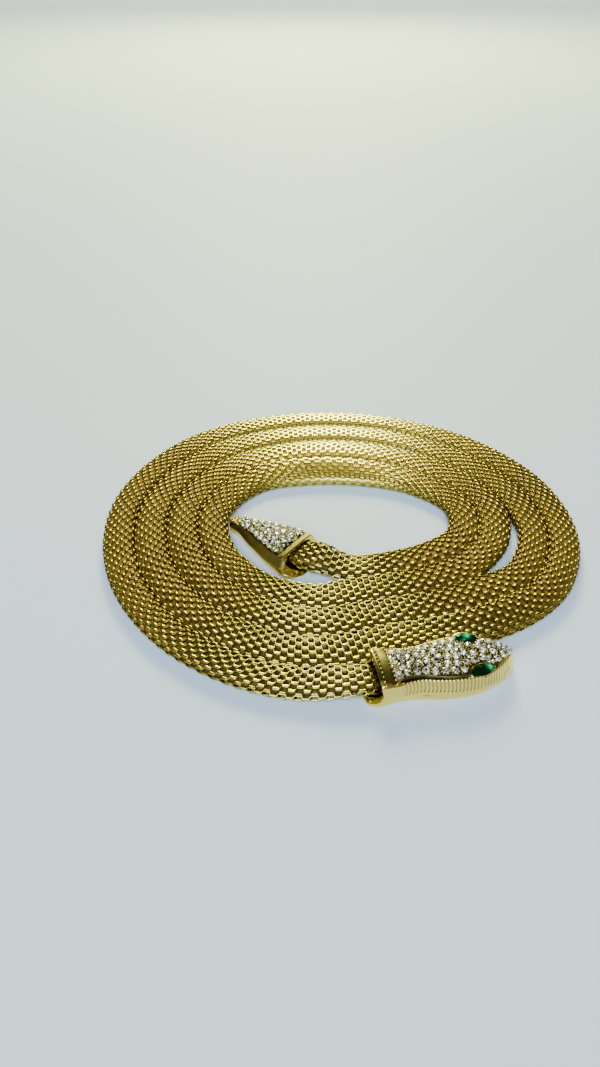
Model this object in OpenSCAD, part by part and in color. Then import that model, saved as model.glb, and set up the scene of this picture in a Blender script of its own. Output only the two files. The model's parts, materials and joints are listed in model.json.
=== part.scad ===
// Snake necklace: a flattened woven band laid in a flat coil, with a cast head on its outer end and a cast
// tail on its inner end, both set with small cut stones, and two green eyes.
// The necklace rests on the plane z = 0. The origin is under the middle of its outline.

/* [Band] */
// Width of the flattened woven band
band_w = 7.8; // [6.5:0.1:7.8]
// Thickness of the band
band_t = 3.6; // [2.8:0.1:3.6]
// How square the band's section is, 2 is an oval
band_square = 2.8; // [2:0.1:5]
// Distance between the rings of facets along the band
ring_gap = 7; // [5:0.5:9]

/* [Head] */
// Length of the head from the mouth of its collar to the snout
head_l = 32.6; // [30:0.2:34]
// Width of the head's foot at the eyes
head_w = 13.6; // [13.2:0.1:13.8]
// Height of the head's side wall at the eyes
head_h = 5.3; // [5.1:0.1:5.6]
// How far the crown of the head rises above its side walls
head_crown = 0.9; // [0.6:0.1:1.2]
// Direction in which the head points
head_turn = 11; // [10:0.5:12]

/* [Tail] */
// Length of the tail from the mouth of its collar to the tip
tail_l = 22.5; // [21:0.5:23]
// Width of the tail's foot at its collar
tail_w = 13.2; // [12.8:0.1:13.6]
// Height of the tail's side wall at its collar
tail_h = 5.4; // [5.2:0.1:5.8]
// Direction in which the tail points
tail_turn = 142; // [141:0.5:143]

/* [Stones] */
// Diameter of the small round stones
stone_d = 1.7; // [1.4:0.05:1.75]
// Distance between the middles of neighbouring stones in a row
stone_pitch = 2.0; // [1.95:0.01:2.2]
// Length of an eye
eye_l = 6.3; // [5.6:0.1:6.4]
// Width of an eye
eye_w = 3.0; // [2.6:0.1:3.1]

/* [Hidden] */

gold = [0.79, 0.64, 0.27];
polished_gold = [0.93, 0.85, 0.52];
clear_stone = [0.9, 0.92, 0.93];
emerald = [0.03, 0.42, 0.27];

// Middle of the coil, from the origin
coil_mid = [0.15, -3.33];
// Middles of the two collars' mouths on the floor
head_mouth = coil_mid + [4.4, -48.2];
tail_mouth = coil_mid + [-11.5, -8.2];

// Radius of the band's centre line on each pass round the coil, innermost pass first
// columns: direction from the coil's middle, first pass, second, third, fourth
coil = [
    [  0, 31.2, 40.5, 50.2, 58.2],
    [ 20, 34.4, 42.8, 51.0, 59.2],
    [ 45, 31.5, 41.0, 49.5, 58.0],
    [ 75, 28.0, 39.5, 48.0, 56.5],
    [105, 28.5, 40.5, 49.0, 57.5],
    [135, 33.0, 43.0, 52.0, 60.5],
    [165, 34.5, 43.0, 51.5, 60.0],
    [195, 31.0, 39.5, 48.0, 56.5],
    [225, 27.0, 35.5, 44.5, 53.0],
    [255, 23.5, 32.0, 41.5, 50.5],
    [285, 21.0, 29.5, 38.0],
    [315, 25.2, 34.6, 46.0],
    [340, 34.2, 45.5, 54.6]];
passes = 4;
// The short straight run from the tail to the first pass, from the middle of the coil
// columns: x, y
tail_run = [[2.3, -12.2], [12.3, -10.6], [22.3, -7.0]];
// Where the band leans over
// columns: turn at the middle of the lean, its spread, angle by which the outer edge is raised
leans = [[248, 22, -16], [470, 60, 15], [1390, 25, -12]];
// Where the band gives way to the head that lies against it
// columns: turn at the middle, spread, how much narrower it is on its outer side
pinches = [[1380, 12, 1.3]];

// Where the band's ends lie, from the collars' mouths
// columns: along the casting, across it
head_entry = [[-3.5, 0], [4, 0]];
tail_entry = [[4, -0.2], [-4.5, -1.2]];
// How far the band is raised in the collars, how far from its ends that lasts, and how soon it reaches the floor
band_flat = 8.5;
band_lift = 1.05;
lift_run = 11;
// Where the band is fuller, near the tail: distance from its inner end, spread, extra thickness, extra width
band_swell = [9.5, 4, 1.1, 0.9];
band_sides = 16;

// Head
// columns: share of the length, shares of the half width at the foot and at the top, share of the wall's height
head_rows = [
    [-0.070, 0.50, 0.50, 1.12],
    [-0.055, 0.70, 0.70, 1.12],
    [-0.020, 0.84, 0.81, 1.12],
    [ 0.020, 0.88, 0.84, 1.12],
    [ 0.080, 0.87, 0.83, 1.10],
    [ 0.150, 0.83, 0.79, 1.05],
    [ 0.230, 0.78, 0.74, 1.03],
    [ 0.310, 0.79, 0.74, 1.02],
    [ 0.375, 0.86, 0.80, 1.00],
    [ 0.445, 0.93, 0.86, 1.00],
    [ 0.550, 1.00, 0.92, 1.00],
    [ 0.630, 1.00, 0.91, 0.99],
    [ 0.710, 0.95, 0.86, 0.97],
    [ 0.800, 0.82, 0.73, 0.94],
    [ 0.895, 0.61, 0.50, 0.90],
    [ 0.950, 0.41, 0.31, 0.86],
    [ 0.985, 0.21, 0.15, 0.82],
    [ 1.000, 0.08, 0.06, 0.80]];
// Tail
// columns: share of the length, shares of the half width at the foot and at the top, share of the wall's height
tail_rows = [
    [-0.205, 0.34, 0.34, 1.00],
    [-0.185, 0.58, 0.56, 1.00],
    [-0.130, 0.84, 0.79, 1.00],
    [-0.060, 0.96, 0.89, 1.00],
    [ 0.020, 1.00, 0.92, 1.00],
    [ 0.140, 0.96, 0.89, 0.99],
    [ 0.310, 0.83, 0.77, 0.96],
    [ 0.530, 0.58, 0.54, 0.90],
    [ 0.755, 0.35, 0.33, 0.82],
    [ 0.910, 0.24, 0.22, 0.75],
    [ 0.975, 0.16, 0.13, 0.66],
    [ 1.000, 0.07, 0.06, 0.58]];
// How far the top of the head's nose stands back from its foot
nose_back = 1.3;
tail_crown = 0.2;
head = [head_rows, head_l, head_w, head_h, head_crown, nose_back];
tail = [tail_rows, tail_l, tail_w, tail_h, tail_crown, 0];

// Rounding along the foot and along the top of the side walls, and steps across the domed top
foot_round = 0.6;
edge_round = 0.4;
dome_steps = 8;

// Side view of what is cut away in front of a collar, so that its floor runs out as a rounded lip
// columns: along the casting, height
head_cut = [[-6, 1.1], [-1.6, 1.1], [0.4, 1.7], [1.3, 3], [0.9, 5], [0.6, 9], [-6, 9]];
tail_cut = [[-8, 1.1], [-3.4, 1.1], [-1.4, 1.6], [-0.5, 2.6], [-0.3, 4.5], [0.2, 9], [-8, 9]];

// Room for the band in a collar: half width, lowest and highest height, depth, squareness, and sideways shift
mouth_half = 4.6;
mouth_low = 0.8;
mouth_high = 5.1;
mouth_deep = 5.6;
mouth_square = 3.4;
tail_mouth_shift = -0.4;

// Stone tray of the head: rim of gold, width and depth of the channel inside it, and the tray's ends
head_rim = 0.65;
channel_w = 0.65;
channel_deep = 1.1;
head_tray = [0.12, 0.955];
// Rim of gold round the tail's stones, and the ends of the field of stones
tail_rim = 0.35;
tail_tray = [0.09, 0.80];

// Small stones: height of the crown and of the pavilion, shares of the table and of the foot, gap under a stone
crown_h = 0.42;
pavilion_h = 0.38;
table_share = 0.58;
culet_share = 0.45;
stone_sides = 8;
seat_gap = 0.12;
// Clear space round the field of stones, least distance between two stones' middles, and between two rows
stone_margin = 0.1;
stone_clear = 1.83;
row_gap = 1.73;
// Step of the finer grid on which the remaining gaps are filled
fill_step = 0.25;

// Eyes: place along the head and off its middle, height over the dome, slope outwards, turn towards the snout,
// and space round an eye
eye_at = [0.706, 0.65];
eye_raise = -0.2;
eye_slope = 24;
eye_turn = 9;
eye_crown = 0.75;
eye_pavilion = 0.7;
eye_space = 0.15;
eye_points = 7;

function unit_at(angle) = [cos(angle), sin(angle)];
function smooth_step(t) = let (u = min(max(t, 0), 1)) u * u * (3 - 2 * u);
function cubic(p, q, m, n, t) =
    p * (1 + t * t * (2 * t - 3)) + q * t * t * (3 - 2 * t) + m * t * (1 - t) * (1 - t) - n * t * t * (1 - t);

// Slope at b of a smooth curve through a, b and c, for each unit of its length
function knot_slope(a, b, c) =
    let (before = norm(b - a), after = norm(c - b))
    ((b - a) * after / before + (c - b) * before / after) / (before + after);

// A column of a table at x, on a smooth curve through its rows
function column(rows, x, col) =
    let (
        last = len(rows) - 1,
        i = max([for (k = [0:last - 1]) if (k == 0 || x >= rows[k][0]) k]),
        a = rows[max(i - 1, 0)],
        b = rows[i],
        c = rows[i + 1],
        d = rows[min(i + 2, last)],
        span = c[0] - b[0])
    cubic(b[col], c[col], (c[col] - a[col]) / (c[0] - a[0]) * span, (d[col] - b[col]) / (d[0] - b[0]) * span,
        (x - b[0]) / span);

function turn_of(p) = let (d = p - coil_mid) (atan2(d[1], d[0]) + 360) % 360;
function in_casting(origin, turn, p) = origin + p[0] * unit_at(turn) + p[1] * unit_at(turn + 90);

// Stations of the band's route: x, y and the turn made round the coil's middle so far
coil_stations = [
    for (pass = [1:passes])
        for (row = coil)
            if (len(row) > pass)
                let (p = coil_mid + row[pass] * unit_at(row[0]))
                [p[0], p[1], 360 * pass + row[0]]];
head_stations = [
    for (e = head_entry)
        let (p = in_casting(head_mouth, head_turn, e))
        [p[0], p[1], 360 * passes + turn_of(p)]];
run_points = concat(
    [for (e = tail_entry) in_casting(tail_mouth, tail_turn, e)],
    [for (p = tail_run) coil_mid + p]);
run_stations = [for (p = run_points) [p[0], p[1], turn_of(p)]];
stations = concat(run_stations, coil_stations, head_stations);

function flat(v) = [v[0], v[1]];
// Slope of the route at a station
function station_slope(i) =
    let (
        last = len(stations) - 1,
        b = flat(stations[i]),
        a = i > 0 ? flat(stations[i - 1]) : b - (flat(stations[1]) - b),
        c = i < last ? flat(stations[i + 1]) : b + (b - flat(stations[last - 1])))
    knot_slope(a, b, c);

// Points along the route: x, y, turn
route = [
    for (i = [0:len(stations) - 2])
        let (
            p = flat(stations[i]),
            q = flat(stations[i + 1]),
            span = norm(q - p),
            m = station_slope(i) * span,
            n = station_slope(i + 1) * span,
            count = ceil(span / ring_gap),
            end = i == len(stations) - 2 ? count : count - 1)
        for (k = [0:end])
            let (xy = cubic(p, q, m, n, k / count))
            [xy[0], xy[1], stations[i][2] + (stations[i + 1][2] - stations[i][2]) * k / count]];

// Distance along the route from its start
function step_after(points, i) = i + 1 < len(points) ? norm(flat(points[i + 1] - points[i])) : 0;
run = [for (i = 0, s = 0; i < len(route); s = s + step_after(route, i), i = i + 1) s];
band_l = run[len(run) - 1];

// Sum of the smooth bumps of a table at x, columns: middle, spread, height
function bumps(rows, x) = [for (row = rows) row[2] * exp(-pow((x - row[0]) / row[1], 2))] * [for (row = rows) 1];
function lift_at(s) = band_lift * (1 - smooth_step((min(s, band_l - s) - band_flat) / lift_run));

// One point of a superellipse of half sizes a and b
function oval_point(a, b, power, angle) =
    let (c = cos(angle), s = sin(angle), q = pow(pow(abs(c), power) + pow(abs(s), power), -1 / power))
    [a * q * c, b * q * s];

// Ring of facets round the band at a point of its route: the outer edge is to the right of the run
function band_ring(i) =
    let (
        last = len(route) - 1,
        ahead = flat(route[min(i + 1, last)]) - flat(route[max(i - 1, 0)]),
        dir = ahead / norm(ahead),
        out = [dir[1], -dir[0]],
        lean = bumps(leans, route[i][2]),
        pinch = bumps(pinches, route[i][2]),
        swell = exp(-pow((run[i] - band_swell[0]) / band_swell[1], 2)),
        half_w = (band_w + band_swell[3] * swell - pinch) / 2,
        half_t = (band_t + band_swell[2] * swell) / 2,
        raw = [
            for (j = [0:band_sides - 1])
                let (p = oval_point(half_w, half_t, band_square, -360 * j / band_sides))
                [p[0] * cos(lean) - p[1] * sin(lean), p[0] * sin(lean) + p[1] * cos(lean)]],
        low = min([for (p = raw) p[1]]) - lift_at(run[i]))
    [
        for (p = raw)
            let (across = p[0] - pinch / 2)
            [route[i][0] + out[0] * across, route[i][1] + out[1] * across, p[1] - low]];

// Solid between rings of points that all have the same count, closed flat at both ends
module loft(rings) {
    m = len(rings[0]);
    last = len(rings) - 1;
    polyhedron(
        points = [for (ring = rings) each ring],
        faces = concat(
            [[for (j = [0:m - 1]) j]],
            [for (i = [0:last - 1]) for (j = [0:m - 1]) [i * m + j, (i + 1) * m + j, (i + 1) * m + (j + 1) % m]],
            [for (i = [0:last - 1]) for (j = [0:m - 1]) [i * m + j, (i + 1) * m + (j + 1) % m, i * m + (j + 1) % m]],
            [[for (j = [m - 1:-1:0]) last * m + j]]));
}

module mesh_band() {
    color(gold)
        loft([for (i = [0:len(route) - 1]) band_ring(i)]);
}

// Sizes of a casting at x along it
function foot_half(part, x) = part[2] / 2 * column(part[0], x / part[1], 1);
function top_half(part, x) = part[2] / 2 * column(part[0], x / part[1], 2);
function wall_top(part, x) = part[3] * column(part[0], x / part[1], 3);
function crown_at(part, x) = part[4] * min(1, top_half(part, x) * 3 / part[2]);
// Height of the domed top at x along a casting and y across it
function dome_at(part, x, y) = wall_top(part, x) + crown_at(part, x) * (1 - pow(y / top_half(part, x), 2));

// Section of a casting at x: flat underneath, leaning sides, domed top, from one foot round to the other
function casting_section(part, x) =
    let (
        foot = foot_half(part, x),
        top = top_half(part, x),
        wall = wall_top(part, x),
        round = min(foot_round, foot * 0.4),
        edge = min(edge_round, top * 0.4),
        right = [[foot - round, 0], [foot - round * 0.3, round * 0.3], [foot, round], [top, wall - edge]],
        dome = [
            for (i = [0:dome_steps])
                let (u = (top - edge * 0.3) * (1 - 2 * i / dome_steps))
                [u, wall + crown_at(part, x) * (1 - pow(u / top, 2)) - edge * 0.3 * pow(u / top, 8)]])
    concat(right, dome, [for (i = [3:-1:0]) [-right[i][0], right[i][1]]]);

// A casting, before anything is cut from it
module casting(part) {
    loft([
        for (row = part[0])
            let (x = row[0] * part[1], back = part[5] * smooth_step((row[0] - 0.7) / 0.3))
            [for (p = casting_section(part, x)) [x - back * p[1] / part[3], p[0], p[1]]]]);
}

module collar_cut(profile) {
    rotate([90, 0, 0])
        linear_extrude(40, center = true)
            polygon(profile);
}

module mouth_room(shift) {
    middle = (mouth_low + mouth_high) / 2;
    loft([for (x = [-8, mouth_deep])
        [for (j = [0:27])
            let (p = oval_point(mouth_half, (mouth_high - mouth_low) / 2, mouth_square, 360 * j / 28))
            [x, p[0] + shift, middle + p[1]]]]);
}

// Block above the floor of the tray, inset from the outline of a casting's top
module tray_block(part, span, inset, low, high) {
    loft([
        for (i = [0:12])
            let (
                x = (span[0] + (span[1] - span[0]) * i / 12) * part[1],
                half = max(top_half(part, x) - inset, 0.3),
                wall = wall_top(part, x))
            [for (p = [[-half, low], [half, low], [half, high], [-half, high]]) [x, p[0], wall + p[1]]]]);
}

// Round stone with a table, a ring of facets above the girdle and one below, standing on z = 0
module round_stone() {
    loft([
        for (level = [[0, culet_share], [pavilion_h, 1], [pavilion_h + crown_h, table_share]])
            [for (j = [0:stone_sides - 1])
                let (p = stone_d / 2 * level[1] * unit_at(360 * (j + 0.5) / stone_sides))
                [p[0], p[1], level[0]]]]);
}

// Stones on a casting's domed top, square to it, at places [along, across]
module set_stones(part, places) {
    for (p = places) {
        z = dome_at(part, p[0], p[1]);
        side = dome_at(part, p[0], p[1] + 0.3) - dome_at(part, p[0], p[1] - 0.3);
        ahead = dome_at(part, p[0] + 0.3, p[1]) - dome_at(part, p[0] - 0.3, p[1]);
        translate([p[0], p[1], z + seat_gap])
            rotate([atan(side / 0.6), -atan(ahead / 0.6), 0])
                round_stone();
    }
}

eye_place = [eye_at[0] * head_l, eye_at[1] * head_w / 2];
// Whether a place is clear of both eyes' outlines
function off_eye(p) =
    let (
        d = [p[0] - eye_place[0], abs(p[1]) - eye_place[1]],
        u = d * unit_at(-eye_turn),
        v = d * unit_at(90 - eye_turn))
    pow(abs(u) / (eye_l / 2 + stone_d / 2), 1.7) + pow(abs(v) / (eye_w / 2 + stone_d / 2), 1.7) > 1.08;

// Places for stones in staggered rows that run along both sides of a casting's top, outermost rows first
function row_places(part, span, inset) = [
    for (k = [0:3])
        let (start = span[0] * part[1] + stone_d * 0.62 + (k % 2) * stone_pitch / 2)
        for (x = [start:stone_pitch:span[1] * part[1] - stone_d * 0.6])
            let (y = top_half(part, x) - inset - k * row_gap)
            if (y > stone_clear / 2)
                for (side = [-1, 1]) [x, side * y]];
// Places on a finer grid, for the gaps where the number of rows changes
function grid_places(part, span, inset) = [
    for (x = [span[0] * part[1] + stone_d * 0.62:fill_step:span[1] * part[1] - stone_d * 0.6])
        let (y = top_half(part, x) - inset)
        if (y > 0)
            for (v = [-floor(y / fill_step):floor(y / fill_step)]) [x, v * fill_step]];
function is_clear(p, list) = len([for (q = list) if (norm(p - q) < stone_clear) 1]) == 0;
// The places that are clear of all those kept before them
function kept_places(places) = [
    for (i = 0, kept = []; i <= len(places);
        kept = i < len(places) && is_clear(places[i], kept) ? concat(kept, [places[i]]) : kept, i = i + 1)
        if (i == len(places)) kept][0];
function field(part, span, inset) =
    let (places = concat(row_places(part, span, inset), grid_places(part, span, inset)))
    kept_places([for (p = places) if (part[5] == 0 || off_eye(p)) p]);
head_field = field(head, head_tray, head_rim + channel_w + stone_margin + stone_d / 2);
tail_field = field(tail, tail_tray, tail_rim + stone_margin + stone_d / 2);

// Outline of an eye: two arcs that meet in points
function eye_ring(share) =
    let (
        half_l = eye_l / 2,
        half_w = eye_w / 2,
        radius = (half_l * half_l + half_w * half_w) / (2 * half_w),
        reach = asin(half_l / radius),
        arc = [
            for (i = [0:eye_points - 1])
                let (a = reach * (1 - 2 * i / eye_points))
                share * [radius * sin(a), radius * cos(a) - radius + half_w]])
    concat(arc, -arc);
module eye_stone(grow, above) {
    share = 1 + 2 * grow / eye_w;
    table = above > 0 ? 1 : 0.5;
    loft([
        for (level = [[-eye_pavilion - grow, 0.45], [0, 1], [eye_crown + above, table]])
            [for (p = eye_ring(level[1] * share)) [p[0], p[1], level[0]]]]);
}
module place_eye(side) {
    translate([eye_place[0], side * eye_place[1], dome_at(head, eye_place[0], eye_place[1]) + eye_raise])
        rotate([-side * eye_slope, 2, -side * eye_turn])
            children();
}
module place_head() {
    translate([head_mouth[0], head_mouth[1], 0])
        rotate([0, 0, head_turn])
            children();
}
module place_tail() {
    translate([tail_mouth[0], tail_mouth[1], 0])
        rotate([0, 0, tail_turn])
            children();
}

module head_shell() {
    color(polished_gold)
        place_head()
            difference() {
                casting(head);
                collar_cut(head_cut);
                mouth_room(0);
                difference() {
                    tray_block(head, head_tray, head_rim, -channel_deep, 3);
                    tray_block(head, head_tray + [0.023, -0.023], head_rim + channel_w, -channel_deep - 1, 4);
                }
                for (side = [-1, 1])
                    place_eye(side)
                        eye_stone(eye_space, 2);
            }
}

module head_pave() {
    color(clear_stone)
        place_head()
            set_stones(head, head_field);
}

module eye_far() {
    color(emerald)
        place_head()
            place_eye(1)
                eye_stone(0, 0);
}

module eye_near() {
    color(emerald)
        place_head()
            place_eye(-1)
                eye_stone(0, 0);
}

module tail_shell() {
    color(polished_gold)
        place_tail()
            difference() {
                casting(tail);
                collar_cut(tail_cut);
                mouth_room(tail_mouth_shift);
            }
}

module tail_pave() {
    color(clear_stone)
        place_tail()
            set_stones(tail, tail_field);
}

mesh_band();
head_shell();
head_pave();
eye_far();
eye_near();
tail_shell();
tail_pave();
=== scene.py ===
"""Snake necklace: the woven band, the stone-set head and the stone-set tail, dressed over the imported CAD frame."""

import json

import bpy
import numpy as np
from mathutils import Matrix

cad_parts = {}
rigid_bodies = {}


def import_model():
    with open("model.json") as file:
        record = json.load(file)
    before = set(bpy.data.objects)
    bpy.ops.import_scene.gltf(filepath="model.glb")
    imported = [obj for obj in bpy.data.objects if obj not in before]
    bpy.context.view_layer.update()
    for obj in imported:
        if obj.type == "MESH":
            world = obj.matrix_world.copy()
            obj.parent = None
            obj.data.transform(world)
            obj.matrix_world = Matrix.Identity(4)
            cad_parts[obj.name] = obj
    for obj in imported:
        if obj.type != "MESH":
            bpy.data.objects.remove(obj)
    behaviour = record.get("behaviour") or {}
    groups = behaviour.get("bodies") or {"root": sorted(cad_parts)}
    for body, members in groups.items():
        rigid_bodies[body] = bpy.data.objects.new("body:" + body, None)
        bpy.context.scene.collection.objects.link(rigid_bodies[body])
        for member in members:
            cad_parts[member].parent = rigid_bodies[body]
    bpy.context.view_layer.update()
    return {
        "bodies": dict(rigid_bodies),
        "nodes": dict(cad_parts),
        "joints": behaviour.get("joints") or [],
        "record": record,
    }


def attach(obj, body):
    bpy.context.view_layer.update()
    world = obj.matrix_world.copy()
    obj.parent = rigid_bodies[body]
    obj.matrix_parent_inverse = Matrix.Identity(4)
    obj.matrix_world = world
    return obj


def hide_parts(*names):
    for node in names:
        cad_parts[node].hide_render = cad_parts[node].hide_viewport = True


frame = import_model()

bl_info = {
    "name": "Snake necklace",
    "version": (1, 0, 0),
    "blender": (4, 5, 0),
    "location": "3D View > Sidebar > Snake necklace",
    "description": "Builds the woven band, the jewelled head and tail, and a plain stage",
    "category": "Object",
}

MM = 0.001

# ---- Sizes shared with the CAD source, in millimetres and degrees ----

COIL_MID = np.array([0.15, -3.33])
HEAD_MOUTH = COIL_MID + [4.4, -48.2]
TAIL_MOUTH = COIL_MID + [-11.5, -8.2]
HEAD_TURN = 11.0
TAIL_TURN = 142.0
# Direction from the coil's middle, then the band's distance from it on each pass, innermost first
COIL = [
    [0, 31.2, 40.5, 50.2, 58.2],
    [20, 34.4, 42.8, 51.0, 59.2],
    [45, 31.5, 41.0, 49.5, 58.0],
    [75, 28.0, 39.5, 48.0, 56.5],
    [105, 28.5, 40.5, 49.0, 57.5],
    [135, 33.0, 43.0, 52.0, 60.5],
    [165, 34.5, 43.0, 51.5, 60.0],
    [195, 31.0, 39.5, 48.0, 56.5],
    [225, 27.0, 35.5, 44.5, 53.0],
    [255, 23.5, 32.0, 41.5, 50.5],
    [285, 21.0, 29.5, 38.0],
    [315, 25.2, 34.6, 46.0],
    [340, 34.2, 45.5, 54.6],
]
PASSES = 4
TAIL_RUN = [[2.3, -12.2], [12.3, -10.6], [22.3, -7.0]]
HEAD_ENTRY = [[-3.5, 0.0], [4.0, 0.0]]
TAIL_ENTRY = [[4.0, -0.2], [-4.5, -1.2]]
# Turn at the middle of a lean or pinch, its spread, and how much it leans or narrows
LEANS = [[248, 22, -16], [470, 60, 15], [1390, 25, -12]]
PINCHES = [[1380, 12, 1.3]]
# The band's width, thickness and the exponent of its section; how far from its ends it is lifted, how much, and the
# run back down; then its swelling behind the tail: place, spread, thicker by, wider by
BAND_W, BAND_T, BAND_SQUARE = 7.8, 3.6, 2.8
BAND_FLAT, BAND_LIFT, LIFT_RUN = 8.5, 1.05, 11.0
BAND_SWELL = [9.5, 4.0, 1.1, 0.9]
# Where a pair below stands for a smooth step, it is the step's start and its run, which is negative where it falls.
# The weave spreads until its passes touch: how far each gives way there, the most it spreads, and the step from the
# band's ends; then the two open stretches (turn at the middle, spread, share) and how fully they open
TOUCH, MOST_SPREAD, SPREAD_START = 0.2, 1.9, (6.0, 8.0)
OPEN_STRETCHES, OPENING = [[712, 15, 1.0], [232, 34, 1.0]], 1.6
# Waves of the net's shear along the band (size, run, start), and the run over which the shear fades at both ends
SHEAR_WAVES, SHEAR_FADE = [(0.7, 23.0, 0.0), (0.5, 41.0, 1.3)], 30
# A wire's section, clockwise from its top: shares across and up, and the normal's lean from straight up
WIRE_SECTION = [(0.52, 0.9, 24), (1, -0.1, 76), (0.6, -0.9, 150)]
WIRE_SECTION += [(-across, up, -lean) for across, up, lean in WIRE_SECTION[::-1]]
# How far a link's normals lean ahead and back at its ends on the coil's two sides, where the links look like beads
BEAD = 0.4
# Painted light and shade on a wire, as a tone, 0 at its brightest: its painted shade on the coil's two sides, how
# much less on its near and far side, where it is painted light, and how much more painted shade on the steps, in the
# grooves between passes (by share round the section) and inside the castings
PAINTED_SHADE_SIDES, PAINTED_LIGHT_NEAR, PAINTED_LIGHT_FAR, PAINTED_SHADE_STEP = 0.42, 0.27, 0.56, 0.6
PAINTED_SHADE_GROOVE, GROOVE, PAINTED_SHADE_MOUTH, MOUTH_SHADE = 0.1, (0.045, 0.09), 2.0, (3.4, 1.2)
# Core of the weave: distance between its rings, points round it, and how far it stays off the band's ends
CORE_STEP, CORE_ROUND, CORE_END = 1.4, 24, 0.4
# Castings: size, rise of the dome, how far the tip leans back, and rows of share along, half width of the foot, half
# width of the top and height, as shares of the size
HEAD_SIZE, HEAD_CROWN, HEAD_BACK = (32.6, 13.6, 5.3), 0.9, 1.3
HEAD_ROWS = [
    [-0.070, 0.50, 0.50, 1.12],
    [-0.055, 0.70, 0.70, 1.12],
    [-0.020, 0.84, 0.81, 1.12],
    [0.020, 0.88, 0.84, 1.12],
    [0.080, 0.87, 0.83, 1.10],
    [0.150, 0.83, 0.79, 1.05],
    [0.230, 0.78, 0.74, 1.03],
    [0.310, 0.79, 0.74, 1.02],
    [0.375, 0.86, 0.80, 1.00],
    [0.445, 0.93, 0.86, 1.00],
    [0.550, 1.00, 0.92, 1.00],
    [0.630, 1.00, 0.91, 0.99],
    [0.710, 0.95, 0.86, 0.97],
    [0.800, 0.82, 0.73, 0.94],
    [0.895, 0.61, 0.50, 0.90],
    [0.950, 0.41, 0.31, 0.86],
    [0.985, 0.21, 0.15, 0.82],
    [1.000, 0.08, 0.06, 0.80],
]
TAIL_SIZE, TAIL_CROWN, TAIL_BACK = (22.5, 13.2, 5.4), 0.2, 0.0
TAIL_ROWS = [
    [-0.205, 0.34, 0.34, 1.00],
    [-0.185, 0.58, 0.56, 1.00],
    [-0.130, 0.84, 0.79, 1.00],
    [-0.060, 0.96, 0.89, 1.00],
    [0.020, 1.00, 0.92, 1.00],
    [0.140, 0.96, 0.89, 0.99],
    [0.310, 0.83, 0.77, 0.96],
    [0.530, 0.58, 0.54, 0.90],
    [0.755, 0.35, 0.33, 0.82],
    [0.910, 0.24, 0.22, 0.75],
    [0.975, 0.16, 0.13, 0.66],
    [1.000, 0.07, 0.06, 0.58],
]
# Front edge of a collar: height, and place along the casting
HEAD_EDGE = [[0, -2.2], [1.1, -1.6], [1.7, 0.4], [3, 1.3], [5, 0.9], [9, 0.6]]
TAIL_EDGE = [[0, -4.4], [1.1, -3.4], [1.6, -1.4], [2.6, -0.5], [4.5, -0.3], [9, 0.2]]
FOOT_ROUND, EDGE_ROUND = 0.6, 0.4
# Mouth: half width, floor, ceiling, depth, and the exponent of its outline
MOUTH_HALF, MOUTH_LOW, MOUTH_HIGH, MOUTH_DEEP, MOUTH_SQUARE = 4.6, 0.8, 5.1, 5.6, 3.4
TAIL_MOUTH_SHIFT = -0.4
# Rim beside the stones, and from and to which share of the length they lie
HEAD_RIM, CHANNEL_W, HEAD_TRAY = 0.65, 0.65, (0.12, 0.955)
TAIL_RIM, TAIL_TRAY = 0.35, (0.09, 0.80)
# Stones: diameter, distance in a row, least distance, between rows, grid in the middle; edge left, gap under them
STONE_D, STONE_PITCH, STONE_CLEAR, ROW_GAP, FILL_STEP, STONE_MARGIN, SEAT_GAP = 1.7, 2.0, 1.83, 1.73, 0.25, 0.1, 0.12
STONE_ROWS, FIRST_STONE, LAST_STONE = 4, 0.62, 0.6
EYE_L, EYE_W, EYE_AT, EYE_RAISE, EYE_SLOPE, EYE_TURN = 6.3, 3.0, (0.706, 0.65), -0.2, 24, 9

# ---- Sizes of what only the scene has, in millimetres ----

# The head's relief: start and end of its flutes and stones along it, foot of the flutes up the wall (as a share), how
# far the wall stands back there, and the sharpness of a flute
FIELD_START, FIELD_END, FRIEZE_FOOT, FRIEZE_BACK, FLUTE_SHARP = (4.4, 1.2), (31.6, -0.8), (0.36, 0.06), 0.12, 3.2
# Bells of both reliefs (middle, spread, height): the dotted line, the collars' ridges, the tail's pale edge, a
# painted highlight
DOTS, HEAD_RIDGE, TAIL_RIDGE, TAIL_GLEAM = [0.38, 0.03, 1], [0.9, 0.5, 0.2], [0.7, 0.5, 0.14], [0.1, 0.3, 0.45]
# Channel beside the stones, in painted shade: distance from the outline, width, by how much and where it narrows,
# depth, its end, and how far to each side of the eyes' middle it is shallow
CHANNEL_IN, CHANNEL_WIDE, CHANNEL_NARROW, NARROWING = 0.61, 0.7, 0.25, (8, 9)
CHANNEL_DEEP, CHANNEL_END, CHANNEL_EYE = 1.1, (26.5, 2), 3.4
# Painted reflection, an olive band on the head's collar: its end, how olive, and the pale corner that it leaves:
# width, more in front, run
OLIVE_END, OLIVE, CORNER, CORNER_MORE, CORNER_RUN = (3.6, 0.8), 0.52, 0.1, 1.7, 4.2
# The tail's side: how far its foot stands out and where that ends, the share of its height that is upright, and how
# much a painted reflection darkens and dulls it above
TAIL_OUT, TAIL_OUT_END, UPRIGHT, TAIL_DULL = 0.9, (20.5, -8), 0.5, 0.45
# The tail's sunk ground: its start, depth, and tone, which the rest of the top takes too, there a painted reflection
GROUND_START, GROUND_DEEP, GROUND = (1.9, 0.3), 0.18, 0.6
# Small stones between the larger ones: radius, distance apart, height over the ground
FILLER_R, FILLER_APART, FILLER_UP = 0.5, 1.0, 0.3
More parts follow.
